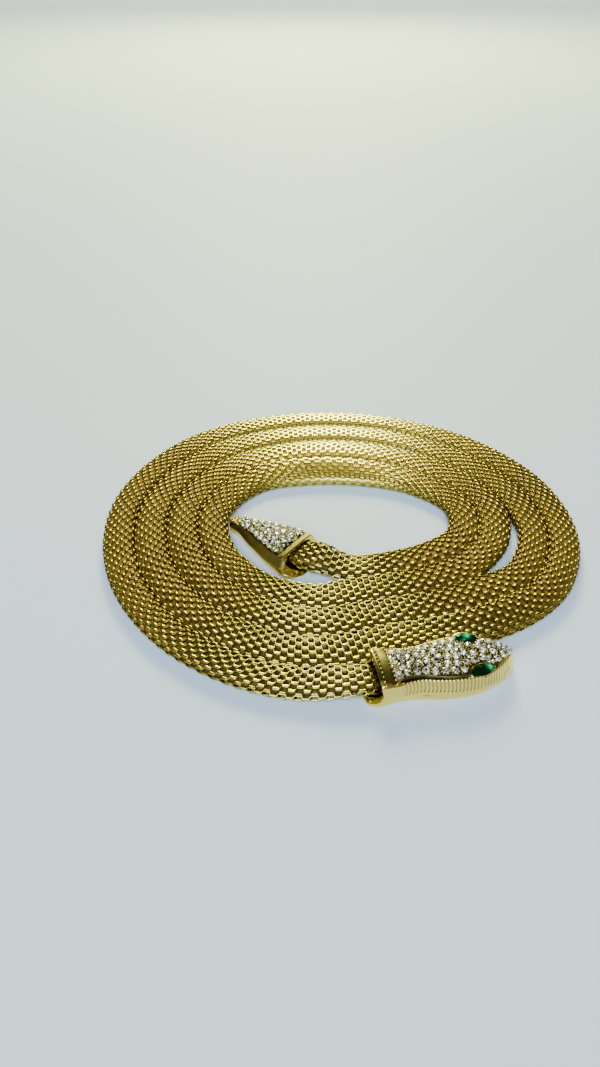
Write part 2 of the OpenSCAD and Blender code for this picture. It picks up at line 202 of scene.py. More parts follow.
# Grains between the stones: clearance as a share of a stone's radius, then from the small stones, apart, height
GRAIN_CLEAR, GRAIN_FILLER, GRAIN_APART, GRAIN_UP = 1.08, 0.66, 0.52, 0.42
GAP_STEP = 0.16
# Rows of grains over the head's collar: places along, grains in a row, reach across, height
MILLED_AT, MILLED_COUNT, MILLED_REACH, MILLED_UP = (0.9, 3.3), 11, 0.93, 0.16
# Grains on the tail's tip: how many, and from and to which share of its length
TIP_GRAINS, TIP_FROM, TIP_TO = 90, 0.80, 0.985
# Round wire of an eye's setting: share of the girdle, radius, how far below the girdle
SETTING_SHARE, SETTING_R, SETTING_DOWN = 1.02, 0.2, 0.16
# How far the painted highlight of a green stone reaches
GLINT_REACH = 1.9
# The photo's camera in pixels and degrees, fitted to the coil's outline on the table
FOCAL_PX, PHOTO_TALL, SENSOR = 770, 1067, 36
CAMERA_AT, CAMERA_TILT = (-10.55, -157.42, 131.98), 50
# Half the floor's width and the world's strength
FLOOR_HALF, WORLD_STRENGTH = 4.0, 0.69


# ---- Property groups: what a user would change ----


def linear(hex_colour):
    """Linear colour of an sRGB hex value."""
    raw = np.array([int(hex_colour[i : i + 2], 16) for i in (1, 3, 5)]) / 255
    return tuple(np.where(raw <= 0.04045, raw / 12.92, ((raw + 0.055) / 1.055) ** 2.4))


def colour_property(name, description, hex_colour):
    """A colour setting with an sRGB hex default."""
    return bpy.props.FloatVectorProperty(
        name=name, description=description, subtype="COLOR", size=3, min=0, max=1, default=linear(hex_colour)
    )


def length_property(name, description, metres):
    """A length setting, shown in the scene's unit."""
    return bpy.props.FloatProperty(
        name=name, description=description, subtype="DISTANCE", unit="LENGTH", min=0, precision=5, default=metres
    )


def share_property(name, description, low, high, default):
    """A share between two limits, shown as a slider."""
    return bpy.props.FloatProperty(
        name=name, description=description, subtype="FACTOR", min=low, max=high, default=default
    )


class NecklaceBandSettings(bpy.types.PropertyGroup):
    """Sizes and colours of the woven band."""

    link_pitch: length_property("Link pitch", "Length of one repeat of the weave along the band", 0.0030)
    wire_width: length_property("Wire width", "Width of a wire of the weave", 0.00080)
    wire_height: length_property("Wire height", "Height of a wire of the weave", 0.00048)
    link_share: share_property("Link share", "Share of a repeat that runs straight along the band", 0.2, 0.48, 0.44)
    wire_gap: share_property("Wire gap", "Share of a row by which a link's wires stand off its middle", 0, 0.3, 0.05)
    dip: length_property("Dip", "How far a wire dips between two rows of links", 0.00030)
    shear: length_property("Shear", "How far a link at one edge runs ahead of one at the other, at the sides", 0.0022)
    rows: bpy.props.IntProperty(
        name="Rows", description="Rows of links round the band, an even number", min=10, max=24, default=20
    )
    wire_colour: colour_property("Wire colour", "Plated wire where it catches the light", "#dccd5a")
    # painted shade: colour of the wires where they dip, lie low, sit between passes and lie inside the castings
    shade_colour: colour_property("Shade colour", "Painted shade low down on the wires", "#745a16")
    core_colour: colour_property("Core colour", "Inside of the weave, seen through its holes", "#bc9230")


class NecklaceCastingSettings(bpy.types.PropertyGroup):
    """Finish of the head and the tail."""

    flute_pitch: length_property("Flute pitch", "Distance between two flutes of the head's side", 0.00083)
    flute_depth: length_property("Flute depth", "Depth of those flutes", 0.00016)
    grain_size: length_property("Grain size", "Width of a grain of the milled edges and between the stones", 0.00046)
    gold_colour: colour_property("Gold colour", "Plated and polished casting", "#ffe070")
    # olive ground between the stones, and the colour of the painted shade in the channel and the painted reflections on
    # the collars
    recess_colour: colour_property("Recess colour", "Ground between the stones and in the channel", "#565028")
    crystal_colour: colour_property("Crystal colour", "Foil-backed clear crystal", "#fffae6")
    eye_colour: colour_property("Eye colour", "Foil-backed green glass", "#06a35c")


class NecklaceStageSettings(bpy.types.PropertyGroup):
    """Colour of the floor and strength of the light."""

    floor_colour: colour_property("Floor colour", "Plain pale floor", "#f0faff")
    light_strength: bpy.props.FloatProperty(
        name="Light strength", description="Multiplies the power of every lamp", min=0, max=10, default=1
    )


# ---- Meshes and materials ----


def closed_grid(points):
    """Points, quads and triangles of a grid whose columns wrap round, with each end closed by a fan to its middle."""
    rows, cols = points.shape[:2]
    here = np.arange(cols)
    there = (here + 1) % cols
    start = np.arange(rows - 1)[:, None] * cols
    quads = np.stack([start + here, start + there, start + cols + there, start + cols + here], -1).reshape(-1, 4)
    verts = np.vstack([points.reshape(-1, 3), points[0].mean(0), points[-1].mean(0)])
    first, last = np.full(cols, rows * cols), np.full(cols, rows * cols + 1)
    end = (rows - 1) * cols
    fans = [np.stack([there, here, first], -1), np.stack([end + here, end + there, last], -1)]
    return verts, quads, np.vstack(fans)


def signed_volume(verts, quads, tris):
    """Volume inside closed faces, negative where they point inwards."""
    all_tris = np.vstack([quads[:, [0, 1, 2]], quads[:, [0, 2, 3]], tris]) if len(quads) else tris
    a, b, c = (verts[all_tris[:, i]] for i in range(3))
    return np.einsum("ij,ij->", a, np.cross(b, c)) / 6


def add_object(name, data, place=(0, 0, 0), turn=(0, 0, 0)):
    """An object of the scene with this data, at a place in metres and turned by Euler angles."""
    added = bpy.data.objects.new(name, data)
    added.location, added.rotation_euler = place, turn
    bpy.context.scene.collection.objects.link(added)
    return added


def make_piece(name, parts, material, replaced, smooth=True, attributes=None, normals=None):
    """One object at the origin from closed parts (points in mm, quads, triangles), all turned to point outwards.
    normals gives each point its own, where the faces alone would round a flat too much."""
    verts, quads, tris, count = [], [], [], 0
    for v, q, t in parts:
        v, q, t = np.asarray(v, float), np.asarray(q, int).reshape(-1, 4), np.asarray(t, int).reshape(-1, 3)
        if signed_volume(v - v.mean(0), q, t) < 0:
            q, t = q[:, ::-1], t[:, ::-1]
        verts.append(v)
        quads.append(q + count)
        tris.append(t + count)
        count += len(v)
    verts, quads, tris = np.vstack(verts), np.vstack(quads), np.vstack(tris)
    mesh = bpy.data.meshes.new(name)
    mesh.vertices.add(len(verts))
    mesh.vertices.foreach_set("co", (verts * MM).astype(np.float32).ravel())
    mesh.loops.add(quads.size + tris.size)
    mesh.loops.foreach_set("vertex_index", np.concatenate([quads.ravel(), tris.ravel()]).astype(np.int32))
    mesh.polygons.add(len(quads) + len(tris))
    starts = np.concatenate([np.arange(len(quads)) * 4, quads.size + np.arange(len(tris)) * 3])
    mesh.polygons.foreach_set("loop_start", starts.astype(np.int32))
    mesh.polygons.foreach_set("use_smooth", np.full(len(starts), smooth))
    mesh.update(calc_edges=True)
    for key, values in (attributes or {}).items():
        layer = mesh.attributes.new(key, "FLOAT", "POINT")
        layer.data.foreach_set("value", np.asarray(values, np.float32).ravel())
    if mesh.validate():
        raise ValueError(f"{name} had faces that can't be")
    if normals is not None:
        mesh.normals_split_custom_set_from_vertices(np.asarray(normals, np.float32))
    mesh.materials.append(material)
    piece = add_object(name, mesh)
    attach(piece, "root")
    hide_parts(replaced)
    return piece


def add_node(tree, kind, links=(), **settings):
    """Adds a node: links are (socket of it, output that feeds it), settings are its properties or input values."""
    node = tree.nodes.new(kind)
    for key, value in settings.items():
        if hasattr(node, key):
            setattr(node, key, value)
    for key, value in settings.items():
        if not hasattr(node, key):
            node.inputs[key.replace("_", " ")].default_value = value
    for socket, output in links:
        tree.links.new(output, node.inputs[socket])
    return node


def new_material(name, **values):
    """A material whose Principled shader has these constant inputs; returns it, its tree and that shader."""
    material = bpy.data.materials.new(name)
    material.use_nodes = True
    tree = material.node_tree
    shader = tree.nodes["Principled BSDF"]
    for key, value in values.items():
        shader.inputs[key.replace("_", " ")].default_value = value
    return material, tree, shader


def ramp_colours(tree, factor, stops):
    """Output of a Color Ramp fed by factor, with (place, linear colour) stops."""
    ramp = add_node(tree, "ShaderNodeValToRGB", [("Fac", factor)])
    elements = ramp.color_ramp.elements
    while len(elements) < len(stops):
        elements.new(1.0)
    for element, (place, colour) in zip(elements, stops):
        element.position = place
        element.color = (*colour, 1)
    return ramp.outputs["Color"]


def on_object(tree, kind, **settings):
    """A node whose Vector input is the piece's Object coordinates."""
    place = add_node(tree, "ShaderNodeTexCoord")
    return add_node(tree, kind, [("Vector", place.outputs["Object"])], **settings)


def scaled_sum(tree, value, factor, extra):
    """Output that is value times factor plus extra, which is an output or a number."""
    node = add_node(tree, "ShaderNodeMath", [(0, value)], operation="MULTIPLY_ADD")
    node.inputs[1].default_value = factor
    if isinstance(extra, float):
        node.inputs[2].default_value = extra
    else:
        tree.links.new(extra, node.inputs[2])
    return node.outputs[0]


def bump_shader(tree, shader, height, strength, metres):
    """Bumps the shader by a height output whose whole range stands for that many metres."""
    bump = add_node(tree, "ShaderNodeBump", [("Height", height)], Strength=strength, Distance=metres)
    tree.links.new(bump.outputs["Normal"], shader.inputs["Normal"])


def colour_shader(tree, shader, factor, stops):
    """Colours the shader by a ramp over factor; returns the ramp's output."""
    output = ramp_colours(tree, factor, stops)
    tree.links.new(output, shader.inputs["Base Color"])
    return output


def toned(colour, factor, extra=0.0):
    """The colour times factor plus extra."""
    return tuple(factor * c + extra for c in colour)


# ---- The band's route and its surface ----


def unit_at(degrees):
    """Direction on the floor at an angle from +X."""
    a = np.radians(degrees)
    return np.stack([np.cos(a), np.sin(a)], -1)


def in_casting(mouth, turn, p):
    """Point on the floor at p (along, across) of a casting."""
    return mouth + p[0] * unit_at(turn) + p[1] * unit_at(turn + 90)


def turn_of(p):
    """Direction of p from the coil's middle, from 0 to 360 degrees."""
    return np.degrees(np.arctan2(*(p - COIL_MID)[::-1])) % 360


def band_stations():
    """Points that the band's centre line passes, and the turn made round the coil's middle at each."""
    start = [in_casting(TAIL_MOUTH, TAIL_TURN, e) for e in TAIL_ENTRY] + [COIL_MID + p for p in TAIL_RUN]
    coil = [
        (COIL_MID + row[n] * unit_at(row[0]), 360 * n + row[0])
        for n in range(1, PASSES + 1)
        for row in COIL
        if len(row) > n
    ]
    end = [in_casting(HEAD_MOUTH, HEAD_TURN, e) for e in HEAD_ENTRY]
    points = start + [p for p, _ in coil] + end
    turns = [turn_of(p) for p in start] + [t for _, t in coil] + [360 * PASSES + turn_of(p) for p in end]
    return np.array(points), np.array(turns)


def unit(v):
    """Vectors along the last axis, made 1 long."""
    return v / np.linalg.norm(v, axis=-1)[..., None]


def superellipse(angle, power):
    """Cosine and sine of the angle, and the radius of |x|^power + |y|^power = 1 in that direction."""
    c, s = np.cos(angle), np.sin(angle)
    return c, s, (np.abs(c) ** power + np.abs(s) ** power) ** (-1 / power)


def smooth_step(x, start=0.0, run=1.0):
    """3t² − 2t³ of t = (x − start) / run, held between 0 and 1."""
    t = np.clip((x - start) / run, 0, 1)
    return t * t * (3 - 2 * t)


def hermite(p, q, m, n, t):
    """Cubic from p to q at share t of the way, with slope m at p and n at q."""
    return p * (1 + t * t * (2 * t - 3)) + q * t * t * (3 - 2 * t) + m * t * (1 - t) ** 2 - n * t * t * (1 - t)


def bumps(rows, x):
    """Sum of bell curves: middle, spread, height."""
    return sum(h * np.exp(-(((x - m) / w) ** 2)) for m, w, h in rows)


class BandSurface:
    """The flattened band as a surface of two parameters: distance s along its centre line, and share u of the way
    round its section. The centre line is a chain of cubic Hermite curves through the stations, with the slope at a
    station weighted by the chords beside it; the section is a superellipse |x/a|^n + |y/b|^n = 1 that stands on the
    floor, leaned, swollen, pinched and lifted by smooth bumps."""

    def __init__(self):
        points, turns = band_stations()
        padded = np.vstack([2 * points[0] - points[1], points, 2 * points[-1] - points[-2]])
        before = padded[1:-1] - padded[:-2]
        after = padded[2:] - padded[1:-1]
        lb, la = (np.linalg.norm(d, axis=1)[:, None] for d in (before, after))
        slope = (before * la / lb + after * lb / la) / (lb + la)
        span = np.linalg.norm(points[1:] - points[:-1], axis=1)[:, None]
        t = np.linspace(0, 1, 48, endpoint=False)[:, None, None]
        xy = hermite(points[:-1], points[1:], slope[:-1] * span, slope[1:] * span, t)
        turn = turns[:-1] + (turns[1:] - turns[:-1]) * t[..., 0]
        self.xy = np.vstack([xy.transpose(1, 0, 2).reshape(-1, 2), points[-1]])
        self.turn = np.append(turn.T.ravel(), turns[-1])
        self.s = np.append(0, np.cumsum(np.linalg.norm(np.diff(self.xy, axis=0), axis=1)))
        self.length = self.s[-1]
        self.dir = unit(np.gradient(self.xy, self.s, axis=0))
        # How far the weave spreads into the room to the next pass, outside and inside
        from_mid = np.linalg.norm(self.xy - COIL_MID, axis=1)
        order = np.argsort(self.turn)
        turn, radius = self.turn[order], from_mid[order]
        beyond = np.interp(self.turn + 360, turn, radius, right=np.nan) - from_mid
        within = from_mid - np.interp(self.turn - 360, turn, radius, left=np.nan)
        self.spread = [self.filled(beyond, self.turn), self.filled(within, self.turn - 360)]
        angle = np.linspace(0, 2 * np.pi, 2049)
        ring = self.oval(angle, BAND_W / 2, BAND_W / 2, BAND_T / 2)
        walk = np.append(0, np.cumsum(np.linalg.norm(np.diff(ring, axis=0), axis=1)))
        self.angle_of_share = (walk / walk[-1], angle)

    @staticmethod
    def filled(room, inner_turn):
        """How much further than its half width the weave reaches into the room between two passes, which stays open
        in two short stretches: beside the tail, and on the coil's right."""
        extra = np.clip((np.nan_to_num(room, nan=BAND_W) - BAND_W) / 2 + TOUCH, 0, MOST_SPREAD)
        shut = 1 - np.clip(OPENING * bumps(OPEN_STRETCHES, inner_turn), 0, 1)
        return np.where(np.isnan(room), 0, extra * shut)

    @staticmethod
    def oval(angle, outer, inner, b):
        """Point of the superellipse with half widths outer and inner and half height b in that direction."""
        c, s, q = superellipse(angle, BAND_SQUARE)
        return np.stack([np.where(c > 0, outer, inner) * q * c, b * q * s], -1)

    def from_end(self, s):
        """Distance from the nearer end of the band."""
        return np.minimum(s, self.length - s)

    def sides(self, s):
        """How much of the coil's near and of its far side each distance is, from 0 to 1."""
        y = np.sin(np.radians(np.interp(s, self.s, self.turn)))
        return np.clip(-y, 0, 1) ** 3, np.clip(y, 0, 1) ** 3

    def at(self, s, u, height=0.0):
        """Points at distances s, shares u round the section (0 at the outer edge, a quarter on top) and heights over
        the surface in mm, and the surface's normals there."""
        s, u = np.broadcast_arrays(np.asarray(s, float), np.asarray(u, float))
        x, y, turn = (np.interp(s, self.s, v) for v in (self.xy[:, 0], self.xy[:, 1], self.turn))
        dx, dy = (np.interp(s, self.s, self.dir[:, i]) for i in (0, 1))
        flat = np.zeros_like(dx)
        out = np.stack([dy, -dx, flat], -1) / np.hypot(dx, dy)[..., None]
        lean, pinch = np.radians(bumps(LEANS, turn)), bumps(PINCHES, turn)
        swell = np.exp(-(((s - BAND_SWELL[0]) / BAND_SWELL[1]) ** 2))
        a = (BAND_W + BAND_SWELL[3] * swell - pinch) / 2
        spreads = smooth_step(self.from_end(s), *SPREAD_START)
        outer, inner = (a + spreads * np.interp(s, self.s, extra) for extra in self.spread)
        b = (BAND_T + BAND_SWELL[2] * swell) / 2
        lift = BAND_LIFT * (1 - smooth_step(self.from_end(s), BAND_FLAT, LIFT_RUN))
        # the lowest point of the leaned section, from its support in the downward direction
        k = BAND_SQUARE / (BAND_SQUARE - 1)
        lower = np.where(lean > 0, inner, outer)
        low = -((np.abs(lower * np.sin(lean)) ** k + np.abs(b * np.cos(lean)) ** k) ** (1 / k)) - lift
        angle = np.interp(u % 1.0, *self.angle_of_share)
        p = self.oval(angle, outer, inner, b)
        # normal of the section, the slope of |x/a|^n + |y/b|^n there
        sides = ((p[..., 0], np.where(p[..., 0] > 0, outer, inner)), (p[..., 1], b))
        steep = [np.abs(v / half) ** (BAND_SQUARE - 1) * np.sign(v) / half for v, half in sides]
        steep = unit(np.stack(steep, -1))
        p = p + steep * np.asarray(height)[..., None]
        c, w = np.cos(lean), np.sin(lean)
        across, up = p[..., 0] * c - p[..., 1] * w - pinch / 2, p[..., 0] * w + p[..., 1] * c - low
        n_across, n_up = steep[..., 0] * c - steep[..., 1] * w, steep[..., 0] * w + steep[..., 1] * c
        z = np.array([0.0, 0.0, 1.0])
        point = np.stack([x, y, flat], -1) + out * across[..., None] + z * up[..., None]
        return point, out * n_across[..., None] + z * n_up[..., None]


def wire_paths(band, settings, first, last, fine):
    """Centre lines of the wires numbered first to last: each runs along a row of links, steps over to the next row,
    runs along that and steps back, once every pitch, so that two neighbouring wires lie side by side in each link.
    Returns distance, share round the section, height, share of the dip and lean ahead, each as (wires, points)."""
    pitch, dip = settings.link_pitch / MM, settings.dip / MM
    half = settings.link_share / 2
    # Phase within half a repeat, share of the step to the next row, share of the dip, and lean of the normal ahead
    if fine:
        knots = [(-0.8 * half, 0, 0.05, -0.5), (0, 0, 0, 0), (0.8 * half, 0, 0.05, 0.5)]
        knots += [(half + 0.01, 0.15, 0.66, 0.6), (0.49 - half, 0.85, 0.66, -0.6)]
    else:
        knots = [(-0.8 * half, 0, 0.1, -0.5), (0.8 * half, 0, 0.1, 0.5), (0.25, 0.5, 1.0, 0)]
    # the second half of a repeat is the first half seen from the next row
    phase, step, low, roll = np.array(knots + [(k[0] + 0.5, 1 - k[1], *k[2:]) for k in knots]).T
    count = int(band.length / pitch) - 1
    step, low, roll = (np.tile(column, count)[None, :] for column in (step, low, roll))
    wires = np.arange(first, last + 1)[:, None]
    cycle = (np.arange(count)[:, None] + phase).ravel() + 0.5 * (wires % 2)
    # two wires share a link: each keeps a little to its own side
    side = 0.5 + (step - 0.5) * (1 - 2 * settings.wire_gap)
    margin = (band.length - (count + 0.5) * pitch) / 2
    s = cycle * pitch + margin + 0.25 * pitch
    u = (wires + side) / settings.rows
    # The net shears unevenly as it bends: a sum of slow waves along the band
    inward = 1 - np.abs(1 - 2 * (u % 1.0)) - 0.5
    ends = smooth_step(band.from_end(s), 0, SHEAR_FADE)
    slant = sum(size * np.sin(s / run + start) for size, run, start in SHEAR_WAVES)
    s = s + settings.shear / MM * slant * inward * ends
    # along the coil's near and far side the net is pulled flatter, and its steps rise
    near, far = band.sides(s)
    low = low * (1 - 0.5 * (near + far))
    return s, u, -settings.wire_height / MM / 2 - dip * low, low, roll * (1 - near) * (1 - far)


def wire_tubes(band, settings, first, last, fine):
    """Closed tubes along the wires: a six-sided section with a broad, nearly flat top, as the rolls that press the
    weave leave it, carried along each centre line with its top towards the band's normal. The underside's coarser
    wires have four sides. Returns the parts and, for each point, half its tone of painted light and shade, and its
    normal."""
    s, u, h, low, roll = wire_paths(band, settings, first, last, fine)
    centre, normal = band.at(s, u, h)
    # Direction of the wire at a knot: of the two stretches beside it, the longer one counts more
    stretch = np.diff(centre, axis=1)
    length = np.linalg.norm(stretch, axis=-1, keepdims=True)
    pull = np.pad(stretch * length**2, ((0, 0), (1, 1), (0, 0)), mode="edge")
    ahead = unit(pull[:, :-1] + pull[:, 1:])
    normal = unit(normal - ahead * np.einsum("...i,...i->...", normal, ahead)[..., None])
    side = np.cross(ahead, normal)
    across, up, lean = np.array(WIRE_SECTION if fine else WIRE_SECTION[::2] + [WIRE_SECTION[3]]).T
    order = np.argsort(-np.arctan2(up, across))
    across, up, lean = across[order], up[order], np.radians(lean[order])
    near, far = band.sides(s)
    low4, near4, far4 = (v[:, :, None, None] for v in (low, near, far))
    w, t = settings.wire_width / MM / 2, settings.wire_height / MM / 2
    # a wire is thinner where it dips, and along the coil's near side
    narrow = (1 - (0.8 - 0.5 * near4) * low4) * (1 - 0.22 * near4)
    ring = centre[:, :, None] + side[:, :, None] * (w * across)[:, None] * narrow
    ring = ring + normal[:, :, None] * (t * up)[:, None] * (1 - 0.3 * low4)
    # along the far side its normals lean less, as on a flat, and along the near side they turn up
    tilt = lean[:, None] * (1 - 0.7 * far4)
    normal = unit(normal * (1 - 0.5 * near4[:, :, 0]) + np.array([0, 0.07, 0.5]) * near4[:, :, 0])
    facing = side[:, :, None] * np.sin(tilt) + normal[:, :, None] * np.cos(tilt)
    # on the coil's two sides each link is round like a bead: its normals lean ahead and back at its ends
    facing = unit(facing + ahead[:, :, None] * roll[:, :, None, None] * BEAD)
    # painted shade: the wires are darker on the coil's two sides, on the steps and between two passes, and darkest
    # inside the two castings; painted light makes them lighter along the near and far side
    edge = np.abs((2 * u + 0.5) % 1 - 0.5) / 2
    place = PAINTED_SHADE_GROOVE * (1 - smooth_step(edge, *GROOVE)) + PAINTED_SHADE_SIDES - PAINTED_LIGHT_NEAR * near - PAINTED_LIGHT_FAR * far
    place = place + PAINTED_SHADE_STEP * low * (1 - near) * (1 - far)
    place = place + PAINTED_SHADE_MOUTH * (1 - smooth_step(band.from_end(s), *MOUTH_SHADE))
    parts, tones, normals = [], [], []
    for tube, wire_low, out, forward, wire_painted_shade in zip(ring, low, facing, ahead, place):
        parts.append(closed_grid(tube))
        # painted shade also darkens a wire where it dips and on the lower half of its section
        tone = wire_low[:, None] * 0.6 + 0.4 * (0.5 - 0.5 * up)[None, :] + wire_painted_shade[:, None]
        tones.append(np.append(tone.ravel(), [1.0, 1.0]) / 2)
        normals.append(np.vstack([out.reshape(-1, 3), -forward[0], forward[-1]]))
    return parts, np.concatenate(tones), np.vstack(normals)


def woven_wire_material(settings):
    """Gold-plated brass wire, drawn and woven, then polished, coloured by a tone of painted light and shade: bright
    crests, painted light along the coil's near and far sides, and painted shade low in the weave, on the coil's two
    sides, between passes and inside the castings.
    """
    material, tree, shader = new_material("gold_plated_brass_woven_wire", Metallic=1.0, Roughness=0.27)
    low = add_node(tree, "ShaderNodeAttribute", attribute_name="low")
    # Patches of tone about 9 mm across, from handling
    patches = on_object(tree, "ShaderNodeTexNoise", Scale=110.0, Detail=2.0)
    shift = scaled_sum(tree, patches.outputs["Fac"], 0.18, -0.09)
    total = add_node(tree, "ShaderNodeMath", [(0, low.outputs["Fac"]), (1, shift)], operation="ADD")
    # Lit and shaded copies of the plated wire: the wire colour as painted light, the shade colour as painted shade, and
    # near black as the painted shade inside the castings
    bright, shade = tuple(settings.wire_colour), tuple(settings.shade_colour)
    middle = tuple(0.34 * b + 0.66 * d for b, d in zip(bright, shade))
    black = (0.02, 0.01, 0.004)
    stops = [(0.06, bright), (0.25, middle), (0.45, shade), (0.85, toned(shade, 0.8)), (1.0, black)]
    colour_shader(tree, shader, total.outputs[0], stops)
    # Drawing marks along the wire, about 0.15 mm apart
    marks = on_object(tree, "ShaderNodeTexNoise", Scale=6500.0, Detail=1.0)
    bump_shader(tree, shader, marks.outputs["Fac"], 0.12, 0.00005)
    return material


def weave_core_material(settings):
    """Inside of the weave, brass that no polish reaches: dull, with painted shade that makes it dark where the net is
    pulled open, so that its holes read as depth, and painted light that makes it lighter along the coil's far side."""
    material, tree, shader = new_material("dull_brass_weave_core_painted_shade", Metallic=0.6, Roughness=0.6)
    # Grime in spots about 1 mm across
    grime = on_object(tree, "ShaderNodeTexNoise", Scale=900.0, Detail=3.0)
    low = add_node(tree, "ShaderNodeAttribute", attribute_name="low")
    sunk = scaled_sum(tree, low.outputs["Fac"], -0.5, grime.outputs["Fac"])
    # Shaded and lit copies of the core colour, for that painted shade and painted light
    core = tuple(settings.core_colour)
    stops = [(0.02, toned(core, 0.2)), (0.35, toned(core, 0.6)), (0.7, toned(core, 1.7))]
    colour_shader(tree, shader, sunk, stops)
    return material


# ---- The head, the tail and their stones ----


class Casting:
    """The head or the tail: a loft over rows of (share, half foot, half top, height), with a flat foot, leaning sides
    and a domed top z = wall + crown (1 - (y / top)^2). Lengths along it are shares of its length."""

    def __init__(self, mouth, turn, rows, size, crown, back, edge, shift, tray, inset):
        self.mouth, self.turn, self.rows = mouth, turn, np.array(rows)
        self.length, self.width, self.height = size
        self.crown, self.back, self.shift, self.tray, self.inset = crown, back, shift, tray, inset
        self.edge, self.has_eyes = np.array(edge), rows is HEAD_ROWS

    def column(self, share, col):
        """A column of the rows at a share, on a smooth curve through them."""
        r = self.rows
        last = len(r) - 1
        i = np.clip(np.searchsorted(r[:, 0], share, side="right") - 1, 0, last - 1)
        a, b, c, d = r[np.maximum(i - 1, 0)], r[i], r[i + 1], r[np.minimum(i + 2, last)]
        span = c[..., 0] - b[..., 0]
        m = (c[..., col] - a[..., col]) / (c[..., 0] - a[..., 0]) * span
        n = (d[..., col] - b[..., col]) / (d[..., 0] - b[..., 0]) * span
        return hermite(b[..., col], c[..., col], m, n, (share - b[..., 0]) / span)

    def foot(self, x):
        """Half width of the foot at x along."""
        return self.width / 2 * self.column(x / self.length, 1)

    def top(self, x):
        """Half width of the top at x along."""
        return self.width / 2 * self.column(x / self.length, 2)

    def wall(self, x):
        """Height of the walls at x along."""
        return self.height * self.column(x / self.length, 3)

    def dome(self, x, y):
        """Height of the top at x along and y across."""
        top = self.top(x)
        crown = self.crown * np.minimum(1, top * 3 / self.width)
        return self.wall(x) + crown * (1 - (y / top) ** 2)

    def frame_at(self, x, y):
        """Point on the top and the two directions along it and its normal, as the columns of a matrix, with the
        slopes taken over h to each side."""
        x, y = np.asarray(x, float), np.asarray(y, float)
        z, h = self.dome(x, y), 0.3
        ahead = np.stack([np.full_like(x, 2 * h), 0 * x, self.dome(x + h, y) - self.dome(x - h, y)], -1)
        side = np.stack([0 * x, np.full_like(x, 2 * h), self.dome(x, y + h) - self.dome(x, y - h)], -1)
        ahead = unit(ahead)
        up = unit(np.cross(ahead, side))
        return np.stack([x, y, z], -1), np.stack([ahead, np.cross(up, ahead), up], -1)

    def placed(self, points):
        """Points of the casting's own frame in the necklace's frame."""
        c, s = np.cos(np.radians(self.turn)), np.sin(np.radians(self.turn))
        x, y, z = points[..., 0], points[..., 1], points[..., 2]
        return np.stack([self.mouth[0] + c * x - s * y, self.mouth[1] + s * x + c * y, z], -1)

    def grid(self, start, end, step, wider=0.0):
        """Places on a square grid from start to end along, and across as far as the stones' middles lie, or wider."""
        places = []
        for x in np.arange(start, end, step):
            half = self.top(x) - self.inset + wider
            if half > 0:
                n = int(half / step)
                places += [(x, v * step) for v in range(-n, n + 1)]
        return places

    def seats(self):
        """Places of the stones: staggered rows along both sides, outermost first, then a finer grid in what is left;
        of these the ones clear of the eyes and of all kept before."""
        start = self.tray[0] * self.length + STONE_D * FIRST_STONE
        end = self.tray[1] * self.length - STONE_D * LAST_STONE
        places = []
        for k in range(STONE_ROWS):
            for x in np.arange(start + (k % 2) * STONE_PITCH / 2, end, STONE_PITCH):
                y = self.top(x) - self.inset - k * ROW_GAP
                if y > STONE_CLEAR / 2:
                    places += [(x, -y), (x, y)]
        places += self.grid(start, end, FILL_STEP)
        return thinned(places, STONE_CLEAR, lambda p: not (self.has_eyes and on_eye(p)))


def thinned(places, apart, free):
    """The places that are free, each at least that far apart from all kept before it."""
    kept = np.zeros((0, 2))
    for p in places:
        if free(np.asarray(p)) and not (np.hypot(*(kept - p).T) < apart).any():
            kept = np.vstack([kept, p])
    return kept


def on_eye(p):
    """Whether a stone at a place on the head would meet an eye, whose outline is taken as a superellipse."""
    d = np.array([p[0] - EYE_AT[0] * HEAD_SIZE[0], abs(p[1]) - EYE_AT[1] * HEAD_SIZE[1] / 2])
    u, v = d @ unit_at(-EYE_TURN), d @ unit_at(90 - EYE_TURN)
    return (abs(u) / (EYE_L / 2 + STONE_D / 2)) ** 1.7 + (abs(v) / (EYE_W / 2 + STONE_D / 2)) ** 1.7 <= 1.08


